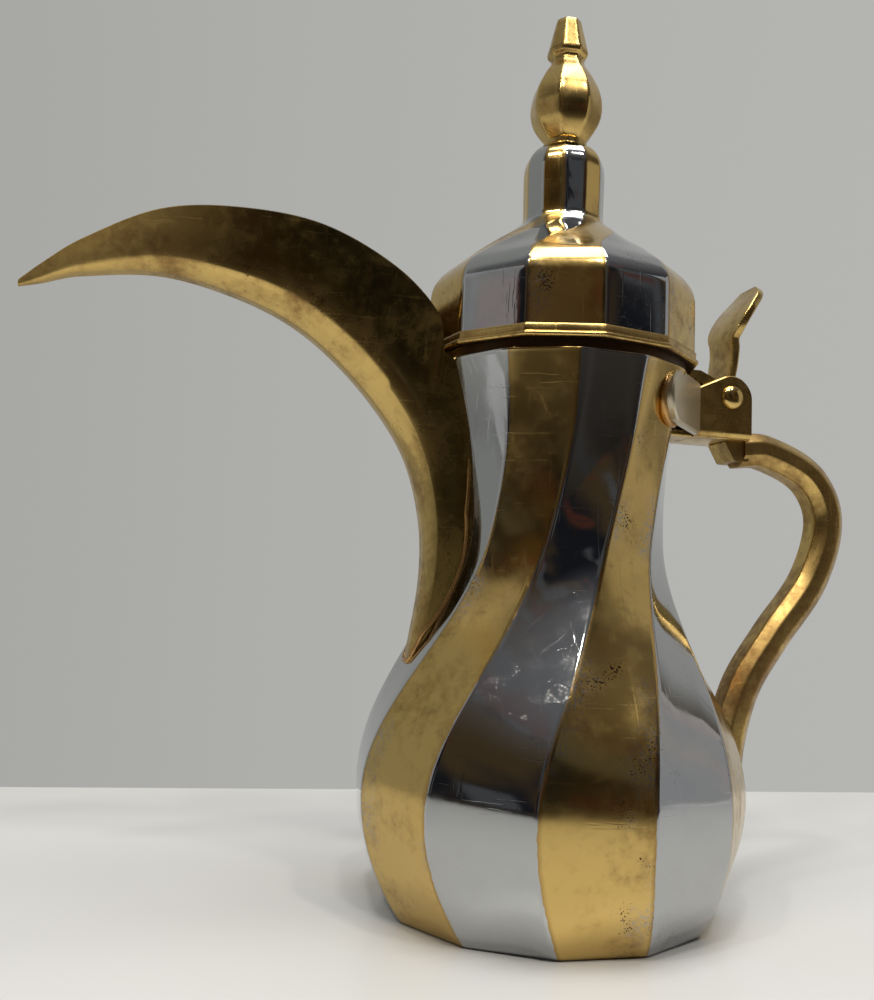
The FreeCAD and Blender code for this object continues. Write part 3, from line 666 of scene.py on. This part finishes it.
def build_spout():
    """An open trough from tip to foot, and the solder bead along its seam on the body."""
    mesh = bmesh.new()
    rings, seam, heights = [], [], []
    mirror = Vector((1, -1, 1))
    for lip, keel, half in spout_sections(SPOUT_ROWS):
        up = lip - keel
        outer = trough_side(lip, keel, half, 0.0, FLANK_STEPS)
        inner = trough_side(lip, keel, half, SPOUT_WALL, FLANK_STEPS)
        crown = (outer[-1] + inner[-1]) / 2 + up.normalized() * 0.45
        side = outer + [crown] + inner[::-1]
        ring = side + [p * mirror for p in side[-2:0:-1]]
        heights.append([(p - keel).dot(up) / up.length_squared for p in ring])
        for a, b in zip(outer, outer[1:]):
            ga, gb = body_surface(a), body_surface(b)
            if ga > 0 >= gb and b.z < RIM_Z:
                seam.append(a.lerp(b, ga / (ga - gb)))
        rings.append([onto_wall(p, IN_WALL) for p in ring])
    along = [index / (len(rings) - 1) for index in range(len(rings))]
    grid = add_skin(mesh, rings, (heights, along, 0.0))
    close_ends(mesh, grid)
    finish_piece(mesh, "beak_spout", "pot", [SPOUT_GOLD], ["spout"], crease=28)
    beads = bmesh.new()
    line = seam + [p * mirror for p in seam[::-1]]
    tube(beads, curve_through(line, SOLDER_STEPS), [BEAD_RADIUS] * SOLDER_STEPS)
    finish_piece(beads, "spout_solder", "pot", [BRAZE], ())


# Handle
SHEET = 2.0
HANDLE_WIDTH, HANDLE_THICK, HANDLE_CHAMFER = 13.5, 11.5, 3.4
HANDLE_RISE, HANDLE_FOOT, HANDLE_STEPS = 1.4, 34.0, 110
LUG_LENGTH, LUG_DEPTH, LUG_OVERLAP = 7.5, 6.6, 2.0


def build_handle():
    """A chamfered bar bent in one sweep, and the lug under the bracket."""
    plate_z = bracket_low.z
    end = bracket_high.x
    half = HANDLE_THICK / 2
    level = plate_z + SHEET + HANDLE_RISE - half
    far = handle_high.x - half
    tall = level - HANDLE_FOOT
    belly = BELLY_RADIUS
    line = [Vector((end, 0, level)), Vector((end + 0.3 * (far - end), 0, level + 0.3)),
            Vector((end + 0.8 * (far - end), 0, level - 0.065 * tall)),
            Vector((far, 0, level - 0.19 * tall)),
            Vector((end + 0.83 * (far - end), 0, level - 0.37 * tall)),
            Vector((end + 0.4 * (far - end), 0, level - 0.545 * tall)),
            Vector((belly * 1.115, 0, level - 0.69 * tall)),
            Vector((belly * 1.025, 0, level - 0.85 * tall)),
            Vector((belly, 0, HANDLE_FOOT))]
    path = curve_through(line, HANDLE_STEPS)
    mesh = bmesh.new()
    rings = []
    a, b, c = HANDLE_WIDTH / 2, half, HANDLE_CHAMFER
    outline = [(a - c, b), (a, b - c), (a, c - b), (a - c, -b),
               (c - a, -b), (-a, c - b), (-a, b - c), (c - a, b)]
    for i, at in enumerate(path):
        way = (path[min(i + 1, len(path) - 1)] - path[max(i - 1, 0)]).normalized()
        if i == 0:
            way = Vector((1, 0, 0))
        out = Vector((-way.z, 0, way.x))
        corners_here = [at + Vector((0, y, 0)) + out * v for y, v in outline]
        rings.append([onto_wall(p, IN_WALL) for p in rounded(corners_here, 0.7)])
    grid = add_skin(mesh, rings)
    close_ends(mesh, grid)
    lug_low, lug_top, lug_end = plate_z - LUG_DEPTH, plate_z - 0.02, end + LUG_OVERLAP
    side = rounded([Vector((end - LUG_LENGTH, 0, lug_top)), Vector((end - LUG_LENGTH / 2, 0, lug_low)),
                    Vector((lug_end, 0, lug_low)), Vector((lug_end, 0, lug_top))], 0.8)
    lug_half = HANDLE_WIDTH / 2 - 1
    lug = add_skin(mesh, [[p + Vector((0, y, 0)) for p in side] for y in (-lug_half, lug_half)])
    close_ends(mesh, lug)
    finish_piece(mesh, "bar_handle", "pot", [HANDLE_GOLD], ["handle"], crease=35)


# Hinge
BRACKET_LENGTH, EAR_RADIUS, EAR_SLOPE = 21.0, 7.5, 25
BRACKET_FOLD, SHEET_EDGE, TAB_IN_WALL = 2.6, 0.45, 0.1
PIN_SHANK, PIN_SIDES = 2.0, 28
WING_HEIGHT, WING_THICK, WING_LENGTH, WING_CORNER = 17.4, 3.0, 24.0, 2.0
WING_ANGLE, WING_BELOW_RIM, WING_INSET = math.radians(44), 0.3, 1.2
BRAZE_OUT, BRAZE_SPARE = 0.4, 0.3


def build_bracket():
    """Sheet folded to a channel; the ears round over the pin."""
    ear = bracket_high.x - PIN.x
    start, low = PIN.x + ear - BRACKET_LENGTH, bracket_low.z
    half, fold, edge = bracket_high.y, BRACKET_FOLD, SHEET_EDGE
    inside = half - SHEET
    slope = math.radians(EAR_SLOPE)
    tangent = (PIN.x - ear * math.sin(slope), PIN.z + ear * math.cos(slope))

    def ear_top(x):
        if x > tangent[0]:
            return PIN.z + math.sqrt(max(0.0, ear ** 2 - (x - PIN.x) ** 2))
        return tangent[1] - (tangent[0] - x) * math.tan(slope)

    def mirrored(points):
        return [Vector((-p.x, p.y)) for p in points]

    stations = [start + (tangent[0] - start) * k / 6 for k in range(6)]
    swing = [math.radians((90 + EAR_SLOPE) * k / 24 - EAR_SLOPE) for k in range(25)]
    stations += [PIN.x + ear * math.sin(a) for a in swing]
    rings = []
    for x in stations:
        top = ear_top(x)
        outer = [Vector((half - edge, top)), Vector((half, top - edge))]
        outer += arc((half - fold, low + fold), fold, 0, -90, 6)
        inner = [Vector((inside, low + SHEET + 0.8)), Vector((inside, top - edge)),
                 Vector((inside + edge, top))]
        floor = [Vector((inside - 0.8, low + SHEET))]
        ring = outer + mirrored(outer[::-1])
        ring += mirrored(inner[::-1]) + mirrored(floor) + floor + inner
        rings.append([Vector((x, p.x, p.y)) for p in ring])
    mesh = bmesh.new()
    grid = add_skin(mesh, rings)
    close_ends(mesh, grid)
    back_low, back_top = low + SHEET - 0.2, PIN.z + 1.2
    back = rounded([Vector((-inside, back_low)), Vector((inside, back_low)),
                    Vector((inside, back_top)), Vector((-inside, back_top))], 0.4)
    plate(mesh, back, SHEET, lambda u, v, d: Vector((start + SHEET / 2 + d, u, v)))
    tab_start, tab_end, tab_half = RIM_RADIUS - 7.0, start + 0.5, half - 2.5
    tab = rounded([Vector((tab_start, -tab_half)), Vector((tab_end, -tab_half)),
                   Vector((tab_end, tab_half)), Vector((tab_start, tab_half))], 0.4)
    plate(mesh, tab, SHEET, lambda u, v, d: onto_wall(Vector((u, v, low + SHEET / 2 + d)), TAB_IN_WALL))
    finish_piece(mesh, "folded_bracket", "pot", [GOLD_PLATE], ["hinge_bracket"], crease=32)


def build_pin():
    """A rivet: shank and two domed heads, turned about the pin's line."""
    reach = pin_high.y
    seat = bracket_high.y
    head = (pin_high.x - pin_low.x) / 2
    under = -seat + 0.02
    quarter = [math.pi / 2 * k / 8 for k in range(1, 9)]
    rows = [(0.05, -reach)]
    rows += [(head * math.sin(a), -seat - (reach - seat) * math.cos(a)) for a in quarter]
    rows += [(head, under), (PIN_SHANK, under)]
    rows += [(r, -y) for r, y in rows[::-1]]
    turns = [2 * math.pi * k / PIN_SIDES for k in range(PIN_SIDES)]
    rings = [[Vector((PIN.x + r * math.cos(a), y, PIN.z + r * math.sin(a))) for a in turns]
             for r, y in rows]
    mesh = bmesh.new()
    grid = add_skin(mesh, rings)
    close_ends(mesh, grid)
    finish_piece(mesh, "rivet", "pot", [BRIGHT_GOLD], ["hinge_pin"], crease=40)


def build_wing(hand, node_name):
    """A plate with one round end, brazed to the neck, and the braze round it."""
    turn = hand * WING_ANGLE
    away = Vector((math.cos(turn), math.sin(turn), 0))
    along = Vector((math.sin(turn), -math.cos(turn), 0)) * hand
    radius = WING_HEIGHT / 2
    mid_z = RIM_Z - WING_BELOW_RIM - radius
    back = RIM_RADIUS - WING_INSET - WING_THICK
    limit = PIN.x + EAR_RADIUS - BRACKET_LENGTH

    def place(u, v, depth):
        out = back + WING_THICK / 2 + depth
        end = (limit - away.x * out) / along.x
        shift = u * end / WING_LENGTH if u > 0 else u
        return away * out + along * shift + Vector((0, 0, mid_z + v))

    outline = arc((0, 0), radius, 90, 270, 20)
    straight = WING_LENGTH - WING_CORNER
    outline += arc((straight, WING_CORNER - radius), WING_CORNER, -90, 0, 4)
    outline += arc((straight, radius - WING_CORNER), WING_CORNER, 0, 90, 4)
    mesh = bmesh.new()
    plate(mesh, outline, WING_THICK, place, bevel=0.6)
    wing = finish_piece(mesh, node_name + "_plate", "pot", [WORN_CHROME], [node_name],
                        crease=32)
    line, radii = [], []
    for p in arc((0, 0), radius + BRAZE_OUT, 75, 285, 40):
        at = place(p.x, p.y, BRAZE_OUT - WING_THICK / 2)
        gap = max(0.0, body_surface(at))
        line.append(at - Vector((at.x, at.y, 0)).normalized() * gap / 2)
        radii.append(max(BEAD_RADIUS, gap / 2 + BRAZE_SPARE))
    beads = bmesh.new()
    tube(beads, line, radii)
    braze = finish_piece(beads, node_name + "_braze", "pot", [BRAZE], ())
    cut_away(wing, neck_form())
    cut_away(braze, neck_form())


LEVER_LEAN, LEVER_TALL, LEVER_STEPS = 13.5, 42.5, 60


def build_lever():
    """A plate bent to an S with a round top, swept along its side line."""
    bends = ((0.1, 0.03), (0.26, 0.15), (0.42, 0.21), (0.53, 0.2), (0.65, 0.32), (0.78, 0.56),
             (0.9, 0.84), (0.985, 0.98))
    line = [Vector((PIN.x + LEVER_LEAN * k, 0, PIN.z + LEVER_TALL * t)) for t, k in bends]
    course = curve_through(line, LEVER_STEPS)
    half_thick, half_wide, half_top = 1.4, 8.2, lever_high.y
    lengths = [0.0]
    for a, b in zip(course, course[1:]):
        lengths.append(lengths[-1] + (b - a).length)
    rings = []
    for index, at in enumerate(course):
        way = (course[min(index + 1, len(course) - 1)] - course[max(index - 1, 0)]).normalized()
        side = Vector((way.z, 0, -way.x))
        left = lengths[-1] - lengths[index]
        below = PIN.z + LEVER_TALL - at.z
        paddle = math.sqrt(max(0.0, half_top ** 2 - (half_top - below) ** 2))
        wide = max(paddle, 1.0 if below < half_top else half_wide)
        thick = half_thick * (1.0 if left > 0.4 else 0.6)
        square = [at + Vector((0, y * wide, 0)) + side * (x * thick)
                  for x, y in ((1, 1), (-1, 1), (-1, -1), (1, -1))]
        rings.append(rounded(square, 0.75, 4))
    mesh = bmesh.new()
    grid = add_skin(mesh, rings)
    close_ends(mesh, grid)
    finish_piece(mesh, "bent_lever", "lid", [GOLD_PLATE], ["thumb_lever"], crease=50)


# Lid
LID_WALL, LID_FILLET, INSIDE_FILLET, INSIDE_LEAST = 1.4, 5.0, 3.0, 4.0
LID_ROWS, INSIDE_ROWS = 110, 88
LID_RADIUS, SHOULDER_RADIUS, TOWER_RADIUS, CROWN_RADIUS = 44.8, 40.0, 13.9, 7.6
SIDE_H, SHOULDER_H, CONE_H, TOWER_H, CROWN_H = 18.0, 7.5, 21.5, 17.0, 9.5


def lid_profile(count):
    """Radius, height and turn along the lid, from the flange to the crown."""
    top = flange_high.z
    inset = LID_RADIUS - SHOULDER_RADIUS
    rows = [(LID_RADIUS, 0.0, 0.0), (LID_RADIUS, SIDE_H * 0.5, 0.0)]
    rows += [(LID_RADIUS - inset * k, SIDE_H + SHOULDER_H * t, 0.0)
             for t, k in ((-0.3, 0.01), (0.0, 0.05), (0.35, 0.22), (0.7, 0.57))]
    cone = ((0.0, 0.0), (0.21, 0.23), (0.4, 0.43), (0.58, 0.63), (0.74, 0.81), (0.88, 0.95), (1.0, 1.0))
    for t, k in cone:
        rows.append((SHOULDER_RADIUS - (SHOULDER_RADIUS - TOWER_RADIUS) * k,
                     SIDE_H + SHOULDER_H + CONE_H * t, smoothstep(t)))
    crown = SIDE_H + SHOULDER_H + CONE_H + TOWER_H
    rows += [(TOWER_RADIUS, crown - TOWER_H * 0.5, 1.0), (TOWER_RADIUS, crown, 1.0)]
    rows += [(CROWN_RADIUS + (TOWER_RADIUS - CROWN_RADIUS) * 0.86, crown + CROWN_H * 0.42, 1.0),
             (CROWN_RADIUS + (TOWER_RADIUS - CROWN_RADIUS) * 0.5, crown + CROWN_H * 0.76, 1.0),
             (CROWN_RADIUS, crown + CROWN_H, 1.0)]
    return [Vector((r, LID_TURN + LID_TWIST * turn, top + z))
            for r, z, turn in (tuple(p) for p in curve_through([Vector(row) for row in rows], count))]


def build_lid():
    """The lid's shell, outside and inside."""
    mesh = bmesh.new()
    rings, across, along = [], [], []
    profile = lid_profile(LID_ROWS)
    for r, turn, z in (tuple(p) for p in profile):
        made = polygon_ring(r, z, turn, SIDES, min(LID_FILLET, 0.35 * r))
        rings.append([p for p, u in made])
        across.append([u for p, u in made])
        along.append(z * MM)
    grid = add_skin(mesh, rings, (across, along, float(SIDES)))
    cap(mesh, grid[-1], flip=True)
    inner = []
    for r, turn, z in (tuple(p) for p in profile[:INSIDE_ROWS]):
        made = polygon_ring(max(INSIDE_LEAST, r - LID_WALL), z, turn, SIDES, INSIDE_FILLET)
        inner.append([p for p, u in made])
    inside = add_skin(mesh, inner, material=1)
    cap(mesh, inside[-1]).material_index = 1
    add_skin(mesh, [rings[0], inner[0]], material=1)
    finish_piece(mesh, "lid_dome", "lid", [LID_PLATE, DULL_INSIDE], ["lid_shell"],
                 crease=50)


FLANGE_BORE, FLANGE_BEAD, FLANGE_FILLET = 39.4, 0.75, 2.0


def build_flange():
    """A flat band with a rolled bead along its lower edge."""
    mesh = bmesh.new()
    outer = flange_high.x / math.cos(LID_TURN)
    inner, low, high = FLANGE_BORE, flange_low.z, flange_high.z
    bead = FLANGE_BEAD
    rows = [(inner / FLAT, low), (outer - 1.4, low)]
    rows += [(outer - bead + bead * math.sin(a), low + bead - bead * math.cos(a))
             for a in (math.pi * k / 7 for k in range(1, 7))]
    rows += [(outer - 0.85, low + 1.75), (outer - 0.75, high - 0.5), (outer - 1.1, high)]
    rows.append((inner / FLAT, high))
    rings = [[p for p, u in polygon_ring(r, z, LID_TURN, SIDES, FLANGE_FILLET)] for r, z in rows]
    for row in (0, -1):
        rings[row] = [Vector((p.x, p.y, 0)).normalized() * inner + Vector((0, 0, p.z)) for p in rings[row]]
    add_skin(mesh, rings + rings[:1])
    # The flange's underside faces get the painted shade of the gap over the neck's rim.
    for face in mesh.faces:
        if max(v.co.z for v in face.verts) < low * MM + 1e-6:
            face.material_index = 1
    finish_piece(mesh, "lid_band", "lid", [GOLD_PLATE, SHADED_SEAT], ["lid_flange"],
                 crease=40)


FINIAL_TURN, FINIAL_SIDES, FINIAL_FILLET = math.radians(16), 8, 2.2
FINIAL_HEIGHT, BULB_HEIGHT = 44.8, 30.6


def build_finial():
    """An eight-sided bulb with a cap."""
    mesh = bmesh.new()
    low, top = finial_low.z, finial_high.z
    waist, bulb, cap_radius, cap_top = 5.8, 12.6, 7.3, 4.4
    bulb_h = (top - low) * BULB_HEIGHT / FINIAL_HEIGHT
    cap_h = top - low - bulb_h
    swell = ((0.0, 0.1), (0.1, 0.5), (0.23, 0.85), (0.4, 1.0), (0.6, 0.86), (0.79, 0.45), (0.92, 0.08),
             (1.0, 0.0))
    rows = [(waist + (bulb - waist) * k, low + bulb_h * t) for t, k in swell]
    rows += [(waist + (cap_radius - waist) * 0.8, low + bulb_h + cap_h * 0.08),
             (cap_radius, low + bulb_h + cap_h * 0.16)]
    smooth = [Vector((p.x, 0, p.z)) for p in curve_through([Vector((r, 0, z)) for r, z in rows], 60)]
    smooth += [Vector((cap_radius + (cap_top - cap_radius) * t, 0, low + bulb_h + cap_h * (0.16 + 0.84 * t)))
               for t in (0.1, 0.3, 0.5, 0.7, 0.9, 0.97)]
    smooth.append(Vector((cap_top - 0.6, 0, top)))
    rings = []
    for r in smooth:
        made = polygon_ring(r.x, r.z, FINIAL_TURN, FINIAL_SIDES, min(FINIAL_FILLET, 0.3 * r.x))
        rings.append([p for p, u in made])
    grid = add_skin(mesh, rings)
    close_ends(mesh, grid)
    finish_piece(mesh, "finial_bulb", "lid", [GOLD_PLATE], ["finial"], crease=50)


build_vessel()
build_floor()
build_spout()
build_handle()
build_bracket()
build_pin()
build_wing(-1, "hinge_wing_left")
build_wing(1, "hinge_wing_right")
build_lid()
build_flange()
build_finial()
build_lever()

# CAD nodes that stay as they are get their plate.
# The seat ring is painted near-black as the shade in the gap under the lid.
for name, material in (("lid_seat_ring", SHADED_SEAT), ("lid_collar", GOLD_PLATE), ("finial_bead", GOLD_PLATE),
                       ("finial_stud", STEEL), ("finial_washer", STEEL), ("finial_nut", STEEL),
                       ("lid_arm", GOLD_PLATE)):
    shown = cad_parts[name]
    shown.data.materials.clear()
    shown.data.materials.append(material)

# Stage, in metres
CAMERA_AZIMUTH = math.radians(-20.98)
facing = Matrix.Rotation(CAMERA_AZIMUTH, 3, "Z")
# The table's far edge runs nearly along the spout and handle.
TABLE_EDGE, TABLE_SLANT = 0.1902, -0.066
TABLE_HALF, TABLE_DEPTH = 2, 2.4
TABLE_PALE = (0.70, 0.70, 0.685, 1.0)
# Painted shade on the table's front, seen only in reflections.
TABLE_PAINTED_SHADE = (0.05, 0.045, 0.04, 1.0)
TABLE_ROUGH = 0.28


def table_top():
    """Pale and slightly glossy; towards the room in front it is painted dark as shade, seen only where the
    plate reflects it.
    """
    material = bpy.data.materials.new("table_pale")
    material.use_nodes = True
    tree = material.node_tree
    shader = tree.nodes["Principled BSDF"]
    shader.inputs["Roughness"].default_value = TABLE_ROUGH
    place = node(tree, "ShaderNodeSeparateXYZ")
    tree.links.new(node(tree, "ShaderNodeTexCoord").outputs["Object"], place.inputs["Vector"])
    seen = node(tree, "ShaderNodeLightPath").outputs["Is Camera Ray"]
    # Painted shade: away from the camera's own view, the table darkens towards the room in front.
    near = math_node(tree, "MAXIMUM", seen, ramp(tree, place.outputs["Y"], -0.5, -0.24))
    tree.links.new(mix_colour(tree, near, TABLE_PAINTED_SHADE, TABLE_PALE), shader.inputs["Base Color"])
    return material


def build_table():
    """A flat top, cut off along its far edge."""
    mesh = bmesh.new()
    front, skew = TABLE_EDGE - TABLE_DEPTH, TABLE_HALF * TABLE_SLANT
    outline = ((-TABLE_HALF, front), (TABLE_HALF, front),
               (TABLE_HALF, TABLE_EDGE + skew), (-TABLE_HALF, TABLE_EDGE - skew))
    mesh.faces.new([mesh.verts.new((x, y, 0)) for x, y in outline])
    data = bpy.data.meshes.new("floor")
    mesh.to_mesh(data)
    mesh.free()
    data.materials.append(table_top())
    plane = bpy.data.objects.new("floor", data)
    bpy.context.scene.collection.objects.link(plane)


build_table()

# Camera, fitted to the photograph: place round the pot, then the turn of the view.
CAMERA_DISTANCE, CAMERA_HEIGHT = 0.33366, 0.09615
VIEW_YAW, VIEW_PITCH, VIEW_ROLL = math.radians(-6.722), math.radians(5.635), math.radians(2.38)
camera_data = bpy.data.cameras.new("camera")
camera_data.sensor_width = 36.0
camera_data.lens = 36.0
camera_data.clip_start = 0.01
camera = bpy.data.objects.new("camera", camera_data)
bpy.context.scene.collection.objects.link(camera)
ahead = Vector((math.sin(VIEW_YAW) * math.cos(VIEW_PITCH), math.cos(VIEW_YAW) * math.cos(VIEW_PITCH),
                math.sin(VIEW_PITCH)))
level_right = Vector((math.cos(VIEW_YAW), -math.sin(VIEW_YAW), 0))
level_up = level_right.cross(ahead)
right = level_right * math.cos(VIEW_ROLL) + level_up * math.sin(VIEW_ROLL)
up = level_up * math.cos(VIEW_ROLL) - level_right * math.sin(VIEW_ROLL)
axes = facing @ Matrix((right, up, -ahead)).transposed()
stand = facing @ Vector((0, -CAMERA_DISTANCE, CAMERA_HEIGHT))
camera.matrix_world = Matrix.Translation(stand) @ axes.to_4x4()
bpy.context.scene.camera = camera


def area(name, place, aim, size, power, colour=(1, 1, 1)):
    data = bpy.data.lights.new(name, "AREA")
    data.shape = "RECTANGLE"
    data.size, data.size_y = size
    data.energy = power
    data.color = colour
    light = bpy.data.objects.new(name, data)
    light.location = facing @ Vector(place)
    light.rotation_euler = (facing @ (Vector(aim) - Vector(place))).to_track_quat("-Z", "Y").to_euler()
    bpy.context.scene.collection.objects.link(light)


# One broad light over the table and small ones for the sparkle on the plate.
area("key_above", (0.1, -0.12, 1.15), (0, 0, 0.1), (0.8, 0.5), 7.8)
area("card_right", (0.75, 0.02, 0.3), (0, 0, 0.14), (0.45, 0.7), 0.4)
area("card_left", (-0.62, -0.3, 0.32), (0, 0, 0.12), (0.25, 0.6), 0.14)
for number, (x, y) in enumerate(((-0.5, -0.75), (-0.1, -0.7), (0.25, -0.8), (0.6, -0.6))):
    area("spot_%d" % number, (x, y, 1.25), (0, 0, 0.15), (0.09, 0.09), 2.6, (1.0, 0.95, 0.86))

# The backdrop is a plain pale wall. The plate sees it behind the pot, and in front a dim room with upright
# shapes in brown, grey and a little red, paler overhead.
ROOM_BROWN, ROOM_DARK = (0.075, 0.05, 0.024, 1.0), (0.013, 0.014, 0.018, 1.0)
ROOM_GREY, ROOM_RED = (0.10, 0.104, 0.11, 1.0), (0.11, 0.035, 0.02, 1.0)
ROOM_ABOVE = (0.22, 0.22, 0.23, 1.0)
WALL_LEFT, WALL_RIGHT = (0.36, 0.363, 0.345, 1.0), (0.46, 0.46, 0.445, 1.0)
world = bpy.data.worlds.new("studio")
bpy.context.scene.world = world
world.use_nodes = True
sky = world.node_tree
direction = node(sky, "ShaderNodeTexCoord").outputs["Generated"]
parts_of = node(sky, "ShaderNodeSeparateXYZ")
sky.links.new(direction, parts_of.inputs["Vector"])
upright = node(sky, "ShaderNodeVectorMath", operation="MULTIPLY")
upright.inputs[1].default_value = (1.0, 1.0, 0.3)
sky.links.new(direction, upright.inputs[0])
shapes = upright.outputs["Vector"]
shades = ramp(sky, noise(sky, shapes, 4.2, 2.0, 0.5), 0.42, 0.58)
dim = mix_colour(sky, shades, ROOM_BROWN, ROOM_DARK)
pale = ramp(sky, noise(sky, shapes, 6.5, 1.0, 0.4), 0.56, 0.62)
dim = mix_colour(sky, scaled(sky, pale, 0.85), dim, ROOM_GREY)
red = ramp(sky, noise(sky, shapes, 9.0, 1.0, 0.4), 0.6, 0.68)
dim = mix_colour(sky, scaled(sky, red, 0.7), dim, ROOM_RED)
overhead = ramp(sky, parts_of.outputs["Z"], 0.42, 0.95)
room = mix_colour(sky, overhead, dim, ROOM_ABOVE)
wall = mix_colour(sky, ramp(sky, parts_of.outputs["X"], -0.7, 0.7), WALL_LEFT, WALL_RIGHT)
seen = node(sky, "ShaderNodeLightPath").outputs["Is Camera Ray"]
behind = math_node(sky, "MAXIMUM", seen, ramp(sky, parts_of.outputs["Y"], -0.05, 0.2))
sky.links.new(mix_colour(sky, behind, room, wall), sky.nodes["Background"].inputs["Color"])
sky.nodes["Background"].inputs["Strength"].default_value = 1.0

bpy.context.scene.view_settings.view_transform = "Standard"
